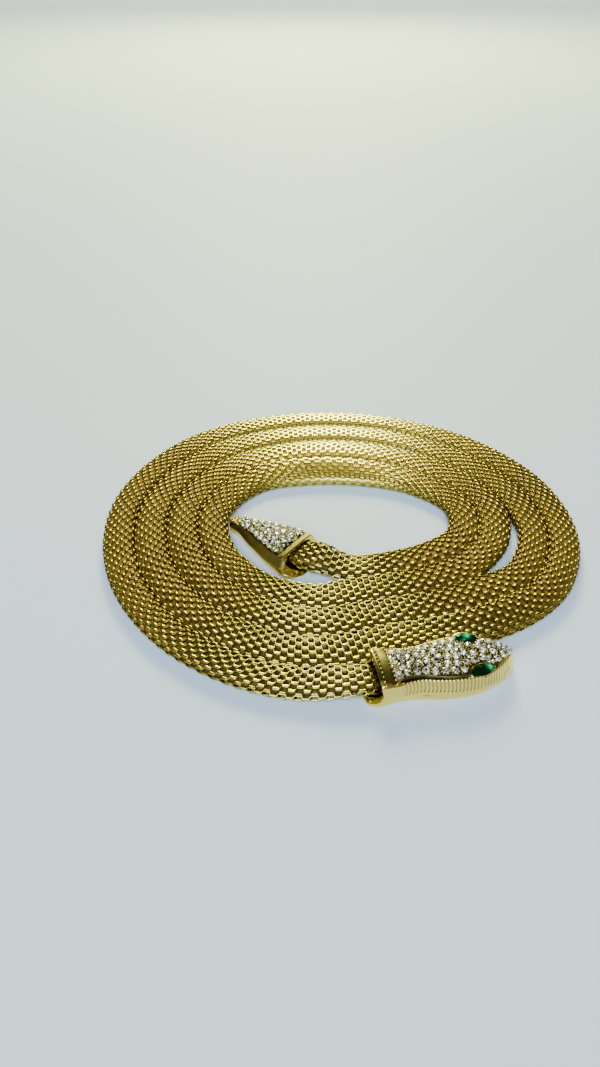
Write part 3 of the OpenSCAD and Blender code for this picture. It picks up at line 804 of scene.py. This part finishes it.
def casting_skin(cast, relief, step, lip):
    """One closed surface: from the bottom of the mouth out over its rim, along the outside and to the snout's tip.
    Columns run once round: from the middle of the foot up one side, over the top and down the other. relief(x, part,
    along) gives how far the surface stands out at x, for the walls (part 0) by share of their height, and for the top
    (part 1) by distance from its outline, and how deep in a recess it lies, a tone that carries painted shade and
    painted reflections. lip is how far the floor of the mouth runs on before its rim turns out. Returns the part and
    how deep each point lies in a recess, full painted shade inside the mouth."""
    n_foot, n_round, n_wall, n_edge, n_dome = 4, 4, 16, 3, 9
    # distances from the outline of the columns that draw the channel beside the stones
    inward = np.array([0.42, 0.60, 0.70, 0.74, 1.12, 1.18, 1.32])
    x = np.arange(np.ceil(0.3 / step) * step, cast.length * 0.995, step)
    x = np.append(x, [cast.length * 0.9985, cast.length])[:, None]
    foot, top, wall = cast.foot(x), cast.top(x), cast.wall(x)
    r, e = np.minimum(FOOT_ROUND, foot * 0.4), np.minimum(EDGE_ROUND, top * 0.4)
    one = np.ones_like(x)
    shares = np.arange(n_foot) / n_foot
    ys, zs = [(foot - r) * shares], [0 * one * shares]
    a = np.pi / 2 * np.arange(n_round) / n_round
    ys.append(foot - r + r * np.sin(a))
    zs.append(r - r * np.cos(a))
    w = np.arange(n_wall) / n_wall
    out, side_depth = relief(x, 0, w)
    ys.append(foot + (top - foot) * w + out)
    zs.append(r + (wall - e - r) * w)
    a = np.pi / 2 * np.arange(n_edge) / n_edge
    out, edge_depth = relief(x, 0, np.array([0.999]))
    ys.append(top - e + e * np.cos(a) + out * (1 - np.sin(a)))
    zs.append(wall - e + e * np.sin(a))
    room = top - e
    d = np.hstack([np.minimum(inward * one, room * (inward / 1.9)), room * 0 + 1.32])[:, :-1]
    rest = np.maximum(top - d[:, -1:], 0.02)
    d = np.hstack([d, top - rest * (1 - np.arange(1, n_dome + 1) / n_dome)])
    lift, deep = relief(x, 1, d)
    ys.append(top - d)
    zs.append(cast.dome(x, top - d) - 0.3 * e * ((top - d) / top) ** 8 + lift)
    y, z = np.hstack(ys), np.hstack(zs)
    depth = np.hstack([0 * x * np.ones(n_foot + n_round), side_depth, edge_depth * np.ones(n_edge), deep])
    # the other side, without repeating the two middle columns
    y, z, depth = (np.hstack([v, k * v[:, -2:0:-1]]) for v, k in ((y, -1), (z, 1), (depth, 1)))
    front = np.interp(z[0], cast.edge[:, 0], cast.edge[:, 1])
    along = front + (x - x[0]) * (cast.length - front) / (cast.length - x[0])
    # in front of the mouth the foot narrows to a rounded tongue
    tongue = np.clip(along, cast.rows[0, 0] * cast.length, 0.3)
    y = y * np.where(along < 0.3, cast.foot(tongue) / cast.foot(np.array(0.3)), 1)
    along = along - cast.back * smooth_step(x / cast.length, 0.7, 0.3) * z / cast.height
    outside = np.stack([along, y, z], -1)
    # the mouth's wall and the rim, column by column: share of the way from the mouth's outline to the outside, and
    # distance inside the collar's front edge, or None for the mouth's end
    middle = np.array([cast.shift, (MOUTH_LOW + MOUTH_HIGH) / 2])
    angle = np.arctan2((z[0] - middle[1]) / (MOUTH_HIGH - MOUTH_LOW) * 2, (y[0] - middle[0]) / MOUTH_HALF)
    c, s, q = superellipse(angle, MOUTH_SQUARE)
    iy, iz = middle[0] + MOUTH_HALF * q * c, middle[1] + (MOUTH_HIGH - MOUTH_LOW) / 2 * q * s
    inner = np.interp(iz, cast.edge[:, 0], cast.edge[:, 1])
    rim = []
    for share, off in ((0, None), (0, 0.5), (0, 0.2), (0.15, 0.03), (0.5, -0.06), (0.85, 0.0)):
        edge_x = front * share + (inner + lip * np.clip(-s, 0, 1) ** 3) * (1 - share)
        rim_x = np.full_like(iy, MOUTH_DEEP) if off is None else edge_x + off
        rim.append(np.stack([rim_x, iy + (y[0] - iy) * share, iz + (z[0] - iz) * share], -1))
    grid = np.vstack([np.stack(rim), outside])
    # painted shade: the mouth's end and the row just inside its rim lie fully dark
    depth = np.vstack([np.full((2, y.shape[1]), 1.0), np.zeros((len(rim) - 2, y.shape[1])), depth])
    return closed_grid(cast.placed(grid)), np.append(depth.ravel(), [1.0, 0.0])


def repeated(shape, centres, frames, scale):
    """A small closed shape (points, quads, triangles) set at each centre, turned by each frame and scaled."""
    points, quads, tris = shape
    scale = np.broadcast_to(scale, len(centres))
    return [(centre + (points * k) @ frame.T, quads, tris) for centre, frame, k in zip(centres, frames, scale)]


def ring_of(radius, z, count, start):
    """Points on a circle at height z, the first at start steps."""
    a = 2 * np.pi * (np.arange(count) + start) / count
    return np.stack([radius * np.cos(a), radius * np.sin(a), np.full(count, z)], -1)


def brilliant():
    """Round cut stone whose girdle has a radius of 1: table, crown facets in two rings of eight, and pavilion."""
    levels = [(0.45, 0.0, 0.5), (1, 0.46, 0.5), (0.82, 0.68, 0), (0.56, 0.86, 0.5)]
    rings = [ring_of(radius, z, 8, start) for radius, z, start in levels]
    points = np.vstack(rings + [[[0, 0, 0]], [[0, 0, 0.86]]])
    j = np.arange(8)
    k = (j + 1) % 8
    tris = [np.stack([j, 32 + 0 * j, k], -1), np.stack([24 + j, 24 + k, 33 + 0 * j], -1)]
    quads = np.stack([j, k, 8 + k, 8 + j], -1)
    # girdle corner j lies between crown corners j and j + 1
    tris += [np.stack([8 + j, 16 + k, 16 + j], -1), np.stack([8 + j, 8 + k, 16 + k], -1)]
    tris += [np.stack([16 + j, 24 + j, 24 + (j - 1) % 8], -1), np.stack([16 + j, 16 + k, 24 + j], -1)]
    return points, quads, np.vstack(tris)


def grain():
    """Small round bead of radius 1: three rings of six points and two poles."""
    a = np.radians([-45, 0, 45])
    rings = np.stack([ring_of(np.cos(t), np.sin(t), 6, 0.5 * i) for i, t in enumerate(a)])
    verts, quads, tris = closed_grid(rings)
    verts[-2:] = [[0, 0, -1], [0, 0, 1]]
    return verts, quads, tris


def marquise():
    """The eye: two arcs that meet in points, cut with a table, two rings of crown facets and a pavilion."""
    half_l, half_w, n = EYE_L / 2, EYE_W / 2, 6
    radius = (half_l**2 + half_w**2) / (2 * half_w)
    a = np.arcsin(half_l / radius) * (1 - 2 * np.arange(n) / n)
    arc = np.stack([radius * np.sin(a), radius * np.cos(a) - radius + half_w], -1)
    ring = np.vstack([arc, -arc])
    between = (ring + np.roll(ring, -1, 0)) / 2
    levels = [(ring, 0.4, -0.7), (ring, 1.0, 0.0), (between, 0.80, 0.42), (ring, 0.46, 0.72)]
    grid = np.stack([np.column_stack([flat * share, np.full(2 * n, z)]) for flat, share, z in levels])
    return closed_grid(grid)


def gaps_between(cast, seats, clear, apart):
    """Places between the stones: on a fine grid over the tray, each clear of every stone and of all kept before it,
    and clear of the eyes, though they may come 0.6 mm nearer than a stone."""
    start, end = (share * cast.length + 0.3 for share in cast.tray)

    def free(p):
        """Whether a place is clear of the stones and the eyes."""
        if cast.has_eyes and on_eye(p - [0.0, 0.6 * np.sign(p[1])]):
            return False
        return (np.hypot(*(seats - p).T) > clear).all()

    return thinned(cast.grid(start, end, GAP_STEP, STONE_D / 2), apart, free)


def cast_gold_material(settings):
    """Gold-plated cast brass, tumbled and polished: pale and mirror-like outside, and olive and rougher by the recess
    attribute, which carries the olive ground between the stones, painted shade, painted reflections and a painted
    highlight.
    """
    material, tree, shader = new_material("gold_plated_cast_brass_polished", Metallic=1.0)
    recess = add_node(tree, "ShaderNodeAttribute", attribute_name="recess")
    # Clouding about 2 mm across, from polishing
    clouds = on_object(tree, "ShaderNodeTexNoise", Scale=450.0, Detail=3.0)
    total = scaled_sum(tree, clouds.outputs["Fac"], 0.12, recess.outputs["Fac"])
    # The recess colour serves the olive ground and the painted shade and reflections; the near black, the painted shade
    # deep in the mouths
    gold, dull = tuple(settings.gold_colour), tuple(settings.recess_colour)
    between = tuple(0.5 * c + 0.5 * d for c, d in zip(gold, dull))
    stops = [(0.08, gold), (0.35, between), (0.6, dull), (0.85, (0.03, 0.016, 0.005))]
    colour_shader(tree, shader, total, stops)
    rough = add_node(tree, "ShaderNodeMapRange", [("Value", total)], To_Min=0.22, To_Max=0.42)
    tree.links.new(rough.outputs["Result"], shader.inputs["Roughness"])
    # Faint orange-peel of the casting, 0.4 mm across
    peel = on_object(tree, "ShaderNodeTexNoise", Scale=2500.0, Detail=1.0)
    bump_shader(tree, shader, peel.outputs["Fac"], 0.1, 0.00004)
    return material


def crystal_material(settings):
    """Cut crystal with a silvered back: every facet mirrors the room, tinted by the glass, and none is seen through."""
    material, tree, shader = new_material(
        "foil_backed_crystal", Metallic=0.7, Roughness=0.08, Coat_Weight=0.6, Coat_Roughness=0.02
    )
    # Painted reflections in the pavilion's facets seen through the crown: cells of their own tone, from dark olive to
    # the crystal colour, and slope, about 0.4 mm across
    cells = on_object(tree, "ShaderNodeTexVoronoi", Scale=2500.0)
    stops = [(0.3, linear("#4a4828")), (0.52, tuple(settings.crystal_colour))]
    colour_shader(tree, shader, cells.outputs["Color"], stops)
    slopes = on_object(tree, "ShaderNodeTexVoronoi", feature="DISTANCE_TO_EDGE", Scale=2500.0)
    bump_shader(tree, shader, slopes.outputs["Distance"], 1.0, 0.00014)
    return material


def green_glass_material(name, colour, glint):
    """Green glass with a silvered back, cut deep: a painted highlight, vivid round a given place in mm, and painted
    shade, near black, away from it."""
    material, tree, shader = new_material(name, Metallic=0.9, Roughness=0.1, Emission_Strength=0.7)
    away = on_object(tree, "ShaderNodeVectorMath", operation="DISTANCE")
    away.inputs[1].default_value = glint * MM
    fade = add_node(tree, "ShaderNodeMapRange", [("Value", away.outputs["Value"])], From_Max=GLINT_REACH * MM)
    # Facets about 0.9 mm across break up its edge
    cells = on_object(tree, "ShaderNodeTexVoronoi", Scale=1100.0)
    tone = scaled_sum(tree, cells.outputs["Distance"], 0.3, fade.outputs["Result"])
    lit, dim, dark = toned(colour, 2.5, 0.1), toned(colour, 0.2), toned(colour, 0.04)
    output = colour_shader(tree, shader, tone, [(0.18, lit), (0.5, colour), (0.72, dim), (0.92, dark)])
    # Painted glow: a little of the colour is given off as well, though the stone is no lamp
    tree.links.new(output, shader.inputs["Emission Color"])
    return material


# ---- Operators ----


class NECKLACE_OT_band(bpy.types.Operator):
    """Weave the band: twenty wires round a dull core, both coloured with painted light and shade"""

    bl_idname = "necklace.band"
    bl_label = "Woven band"

    def execute(self, context):
        settings = context.scene.necklace_band
        band = BandSurface()
        # The core lies below the wires, deepest where the net is pulled open, along the coil's near side
        depth = (settings.wire_height + 0.25 * settings.dip) / MM
        s = np.linspace(CORE_END, band.length - CORE_END, int(band.length / CORE_STEP))[:, None]
        u = (np.arange(CORE_ROUND) / CORE_ROUND)[None, :]
        near, far = band.sides(s)
        rings = band.at(s, u, -depth * (0.78 + 0.77 * near + 0.22 * far + 0 * u))[0]
        # painted shade: it is darkest there, and painted light makes it lightest along the far side
        low = np.append((0.62 + 0.38 * near - 1.12 * far + 0 * u).ravel(), [0, 0])
        core = weave_core_material(settings)
        make_piece("weave_core", [closed_grid(rings)], core, "mesh_band", attributes={"low": low})
        wire = woven_wire_material(settings)
        groups = [
            ("woven_wires_outer_edge", -3, 0, True),
            ("woven_wires_top", 1, 4, True),
            ("woven_wires_inner_top", 5, 8, True),
            ("woven_wires_inner_edge", 9, 12, True),
            ("woven_wires_underside", 13, 16, False),
        ]
        for name, first, last, fine in groups:
            parts, low, normals = wire_tubes(band, settings, first, last, fine)
            make_piece(name, parts, wire, "mesh_band", attributes={"low": low}, normals=normals)
        return {"FINISHED"}


class NECKLACE_OT_castings(bpy.types.Operator):
    """Cast the head and the tail, with their milled edges"""

    bl_idname = "necklace.castings"
    bl_label = "Head and tail"

    def execute(self, context):
        settings = context.scene.necklace_casting
        gold = cast_gold_material(settings)
        head, tail = castings()
        pitch, flute = settings.flute_pitch / MM, settings.flute_depth / MM

        def head_relief(x, part, place):
            """Flutes on the upper part of the side, with painted shade in their grooves, over a dotted line, a ridge on
            the collar with a painted olive reflection, and a channel beside the stones, in painted shade, that ends
            before the near eye."""
            tray = smooth_step(x, *FIELD_START) * smooth_step(x, *FIELD_END)
            groove = 1 - smooth_step(np.abs((x / pitch + 0.5) % 1 - 0.5) * FLUTE_SHARP)
            if part == 0:
                frieze = smooth_step(place, *FRIEZE_FOOT)
                line = bumps([DOTS], place) * (0.4 + 0.6 * groove)
                out = -flute * groove * frieze * tray - FRIEZE_BACK * frieze * tray
                # painted shade in the flutes' grooves, and the dark dotted line at their foot
                return out, (0.42 * groove * frieze + 0.7 * line * groove) * tray
            room = CHANNEL_WIDE - CHANNEL_NARROW * smooth_step(x, *NARROWING)
            wide = (place > CHANNEL_IN) & (place < CHANNEL_IN + room)
            eye = np.exp(-(((x - EYE_AT[0] * HEAD_SIZE[0]) / CHANNEL_EYE) ** 4))
            channel = wide * tray * (1 - 0.8 * eye) * (1 - smooth_step(x, *CHANNEL_END))
            ground = (place > 1.1) * tray
            teeth = -flute * (place < CHANNEL_IN) * tray * groove
            # painted reflection: the collar's top is olive, and the pale side wraps over the collar's corner
            corner = CORNER + CORNER_MORE * np.clip(1 - x / CORNER_RUN, 0, 1)
            olive = OLIVE * (1 - smooth_step(x, *OLIVE_END)) * (place > corner)
            out = bumps([HEAD_RIDGE], x) * (place > 0.2) - CHANNEL_DEEP * channel + teeth
            # painted shade in the channel, the darker olive ground between the stones, and the painted olive reflection
            return out, np.clip(channel + 0.5 * ground + olive, 0, 1)

        def tail_relief(x, part, place):
            """A side that is upright below and leans in above, where a painted reflection darkens and dulls it, a ridge
            along the collar, darkened by a painted reflection but for a painted highlight on its edge, and a sunk
            ground under the stones."""
            if part == 0:
                foot = TAIL_OUT * smooth_step(x, *TAIL_OUT_END)
                lean = tail.foot(x) - tail.top(x)
                upright = foot + lean * np.minimum(place, UPRIGHT)
                # painted reflection: above the upright part the side is darker and rougher
                dull = TAIL_DULL * smooth_step(place, UPRIGHT, 0.08) + 0 * x
                return upright * np.clip((1 - place) / (1 - UPRIGHT), 0, 1), dull
            sunk = smooth_step(x, *GROUND_START) * (place > 0.6)
            out = bumps([TAIL_RIDGE], x) * (place > 0.2) - GROUND_DEEP * sunk
            # the whole top takes the ground's tone, a painted reflection on the collar, lightened by a painted
            # highlight on its edge
            return out, (GROUND - bumps([TAIL_GLEAM], x)) * (1 - sunk) + GROUND * sunk

        for cast, relief, step, lip, name, node in (
            (head, head_relief, pitch / 6, 0.0, "head_casting", "head_shell"),
            (tail, tail_relief, 0.3, 0.6, "tail_casting", "tail_shell"),
        ):
            skin, depth = casting_skin(cast, relief, step, lip)
            make_piece(name, [skin], gold, node, attributes={"recess": depth})
        # Two rows of grains over the head's collar, and grains scattered on the tail's tip
        size = settings.grain_size / MM / 2
        x = np.repeat(MILLED_AT, MILLED_COUNT)
        y = np.tile(np.linspace(-MILLED_REACH, MILLED_REACH, MILLED_COUNT), len(MILLED_AT)) * head.top(x)
        centres, frames = head.frame_at(x, y)
        centres[:, 2] += MILLED_UP
        edge = np.interp(centres[:, 2], head.edge[:, 0], head.edge[:, 1])
        centres[:, 0] += edge * (1 - x / head.length)
        parts = repeated(grain(), head.placed(centres), frames, size)
        make_piece("head_milled_edges", parts, gold, "head_shell", attributes=recess_of(parts))
        rng = np.random.default_rng(7)
        x = rng.uniform(TIP_FROM, TIP_TO, TIP_GRAINS) * tail.length
        centres, frames = tail.frame_at(x, rng.uniform(-0.9, 0.9, TIP_GRAINS) * tail.top(x))
        parts = repeated(grain(), tail.placed(centres), frames, size * rng.uniform(0.7, 1.1, TIP_GRAINS))
        make_piece("tail_granulation", parts, gold, "tail_shell", attributes=recess_of(parts))
        return {"FINISHED"}


def castings():
    """The head and the tail."""
    inset = STONE_MARGIN + STONE_D / 2
    head_inset, tail_inset = HEAD_RIM + CHANNEL_W + inset, TAIL_RIM + inset
    head = (HEAD_MOUTH, HEAD_TURN, HEAD_ROWS, HEAD_SIZE, HEAD_CROWN, HEAD_BACK, HEAD_EDGE, 0.0, HEAD_TRAY)
    tail = (TAIL_MOUTH, TAIL_TURN, TAIL_ROWS, TAIL_SIZE, TAIL_CROWN, TAIL_BACK, TAIL_EDGE, TAIL_MOUTH_SHIFT, TAIL_TRAY)
    return Casting(*head, head_inset), Casting(*tail, tail_inset)


def recess_of(parts, depth=0.0):
    """The recess attribute of parts that all lie equally deep."""
    return {"recess": np.full(sum(len(part[0]) for part in parts), depth)}


def turned(angle, axis=2):
    """Matrices that turn by each angle about an axis, 0 to 2."""
    i, j = (axis + 1) % 3, (axis + 2) % 3
    matrix = np.zeros((*np.shape(angle), 3, 3))
    matrix[..., axis, axis] = 1
    matrix[..., i, i] = matrix[..., j, j] = np.cos(angle)
    matrix[..., i, j], matrix[..., j, i] = -np.sin(angle), np.sin(angle)
    return matrix


class NECKLACE_OT_stones(bpy.types.Operator):
    """Set the crystals with the grains that hold them, and the two eyes"""

    bl_idname = "necklace.stones"
    bl_label = "Stones"

    def execute(self, context):
        settings = context.scene.necklace_casting
        crystal, gold = crystal_material(settings), cast_gold_material(settings)
        size = settings.grain_size / MM / 2
        rng = np.random.default_rng(11)
        for cast, name in zip(castings(), ("head", "tail")):
            seats = cast.seats()
            if not len(seats):
                raise ValueError(f"no room for stones on the {name}")
            centres, frames = cast.frame_at(seats[:, 0], seats[:, 1])
            centres = centres + frames[:, :, 2] * (SEAT_GAP - 0.05)
            spin = turned(rng.uniform(0, np.pi / 4, len(seats)))
            lean = np.radians(rng.normal(0, 5, (len(seats), 2)))
            tip = np.tile(np.eye(3), (len(seats), 1, 1))
            tip[:, 0, 2], tip[:, 1, 2], tip[:, 2, 0], tip[:, 2, 1] = lean[:, 0], lean[:, 1], -lean[:, 0], -lean[:, 1]
            turn = turned(np.radians(cast.turn))
            parts = repeated(brilliant(), cast.placed(centres), turn @ frames @ tip @ spin, STONE_D / 2 * 1.04)
            small = gaps_between(cast, seats, STONE_D / 2 + FILLER_R, FILLER_APART)
            at, axes = cast.frame_at(small[:, 0], small[:, 1])
            at = at + axes[:, :, 2] * FILLER_UP
            parts += repeated(brilliant(), cast.placed(at), turn @ axes, FILLER_R)
            make_piece(f"{name}_crystals", parts, crystal, f"{name}_pave", smooth=False)
            spots = gaps_between(cast, seats, STONE_D / 2 * GRAIN_CLEAR, GRAIN_APART)
            spots = spots[(np.linalg.norm(spots[:, None] - small, axis=-1) > GRAIN_FILLER).all(1)]
            centres, frames = cast.frame_at(spots[:, 0], spots[:, 1])
            centres[:, 2] += GRAIN_UP
            parts = repeated(grain(), cast.placed(centres), turn @ frames, size * 0.95)
            make_piece(f"{name}_grains", parts, gold, f"{name}_pave", attributes=recess_of(parts, 0.3))
        head = castings()[0]
        place = np.array([EYE_AT[0] * HEAD_SIZE[0], EYE_AT[1] * HEAD_SIZE[1] / 2])
        # Each eye: side, slope, how far ahead of its seat and above it, and its painted highlight from its middle
        for name, side, leaning, shift, lift, spot in (
            ("eye_far", 1, -8, -0.8, 0.65, [0.4, 0.2, 0.6]),
            ("eye_near", -1, EYE_SLOPE, 0.0, 0.0, [1.9, 0.5, 0.6]),
        ):
            slope, tip, turn = np.radians([-side * leaning, 2, -side * EYE_TURN])
            frame_of = turned(turn) @ turned(tip, 1) @ turned(slope, 0)
            centre = np.array([place[0] + shift, side * place[1], head.dome(place[0], place[1]) + EYE_RAISE + lift])
            glint = head.placed(centre + spot)
            emerald = green_glass_material(f"foil_backed_green_glass_painted_glint_{name}", tuple(settings.eye_colour), glint)
            points, quads, tris = marquise()
            stone = (head.placed(centre + points @ frame_of.T), quads, tris)
            make_piece(f"{name}_cut", [stone], emerald, name, smooth=False)
            # Setting: a round wire that follows the girdle, the second ring of the stone's points
            girdle = len(points) // 4
            ring = points[girdle : 2 * girdle]
            ring = np.vstack([ring, ring[:1]])
            ahead = np.gradient(ring, axis=0)
            ahead[0] = ahead[-1] = ring[1] - ring[-2]
            out = np.cross(unit(ahead), [0, 0, 1.0])
            a = (2 * np.pi * np.arange(6) / 6)[:, None]
            round_wire = out[:, None] * np.cos(a) + np.array([0, 0, 1.0]) * np.sin(a)
            tube = ring[:, None] * SETTING_SHARE + SETTING_R * round_wire
            tube[..., 2] -= SETTING_DOWN
            part = closed_grid(head.placed(centre + tube @ frame_of.T))
            make_piece(f"{name}_setting", [part], gold, name, attributes=recess_of([part]))
        return {"FINISHED"}


class NECKLACE_OT_stage(bpy.types.Operator):
    """Lay a plain pale floor, light it softly and set the camera"""

    bl_idname = "necklace.stage"
    bl_label = "Floor, light and camera"

    def execute(self, context):
        settings = context.scene.necklace_stage
        # Matt white board under the necklace: plain, with a faint sheen
        white = (*settings.floor_colour, 1)
        material = new_material("matt_white_board", Roughness=0.6, Base_Color=white, Specular_IOR_Level=0.3)[0]
        mesh = bpy.data.meshes.new("floor")
        corners = [(x * FLOOR_HALF, y * FLOOR_HALF, 0) for x, y in ((-1, -1), (1, -1), (1, 1), (-1, 1))]
        mesh.from_pydata(corners, [], [(0, 1, 2, 3)])
        mesh.materials.append(material)
        add_object("floor", mesh)
        world = bpy.data.worlds.new("studio")
        world.use_nodes = True
        tree = world.node_tree
        sky = add_node(tree, "ShaderNodeTexCoord")
        height = add_node(tree, "ShaderNodeSeparateXYZ", [("Vector", sky.outputs["Generated"])])
        # Pale near the horizon, where the room's walls are, and dim overhead
        walls = [(0.05, linear("#c8ced0")), (0.3, linear("#a09e96")), (0.8, linear("#84827c"))]
        room = ramp_colours(tree, height.outputs["Z"], walls)
        background = tree.nodes["Background"]
        tree.links.new(room, background.inputs["Color"])
        background.inputs["Strength"].default_value = WORLD_STRENGTH
        context.scene.world = world
        # Name, place and aim in metres, width, height, watts, colour
        lamps = [
            ("window_behind", (0.0, 0.93, 0.48), (0, 0, 0), 0.30, 0.32, 10.0, "#fcffa0"),
            ("softbox_front", (-0.3, -1.2, 1.3), (0, 0, 0), 1.4, 1.1, 48.0, "#cae2ff"),
            ("softbox_far", (0.0, 2.1, 1.3), (0, 2.1, 0), 0.9, 1.2, 44.0, "#f2fad4"),
        ]
        for name, place, aim, wide, high, power, colour in lamps:
            data = bpy.data.lights.new(name, "AREA")
            data.shape, data.size, data.size_y = "RECTANGLE", wide, high
            data.energy = power * settings.light_strength
            data.color = linear(colour)
            x, y, z = np.array(place) - np.array(aim)
            add_object(name, data, place, (float(np.arctan2(np.hypot(x, y), z)), 0, float(np.arctan2(x, -y))))
        data = bpy.data.cameras.new("camera")
        data.lens = FOCAL_PX / PHOTO_TALL * SENSOR
        data.sensor_width = SENSOR
        data.clip_start, data.clip_end = 0.01, 20
        place = [v * MM for v in CAMERA_AT]
        context.scene.camera = add_object("camera", data, place, (float(np.radians(CAMERA_TILT)), 0, 0))
        return {"FINISHED"}


class NECKLACE_PT_panel(bpy.types.Panel):
    """Lists the steps that build the necklace"""

    bl_idname = "NECKLACE_PT_panel"
    bl_label = "Snake necklace"
    bl_space_type = "VIEW_3D"
    bl_region_type = "UI"
    bl_category = "Snake necklace"

    def draw(self, context):
        for group in (context.scene.necklace_band, context.scene.necklace_casting, context.scene.necklace_stage):
            box = self.layout.box()
            for name in group.__annotations__:
                box.prop(group, name)
        for operator in (NECKLACE_OT_stage, NECKLACE_OT_band, NECKLACE_OT_castings, NECKLACE_OT_stones):
            self.layout.operator(operator.bl_idname)


CLASSES = (
    NecklaceBandSettings,
    NecklaceCastingSettings,
    NecklaceStageSettings,
    NECKLACE_OT_stage,
    NECKLACE_OT_band,
    NECKLACE_OT_castings,
    NECKLACE_OT_stones,
    NECKLACE_PT_panel,
)


def register():
    """Registers the classes and hangs the settings on the scene."""
    for cls in CLASSES:
        bpy.utils.register_class(cls)
    bpy.types.Scene.necklace_band = bpy.props.PointerProperty(type=NecklaceBandSettings)
    bpy.types.Scene.necklace_casting = bpy.props.PointerProperty(type=NecklaceCastingSettings)
    bpy.types.Scene.necklace_stage = bpy.props.PointerProperty(type=NecklaceStageSettings)


def unregister():
    """Takes the settings off the scene and unregisters the classes."""
    del bpy.types.Scene.necklace_stage
    del bpy.types.Scene.necklace_casting
    del bpy.types.Scene.necklace_band
    for cls in reversed(CLASSES):
        bpy.utils.unregister_class(cls)


def main():
    register()
    bpy.ops.necklace.stage()
    bpy.ops.necklace.band()
    bpy.ops.necklace.castings()
    bpy.ops.necklace.stones()


if __name__ == "__main__":
    main()
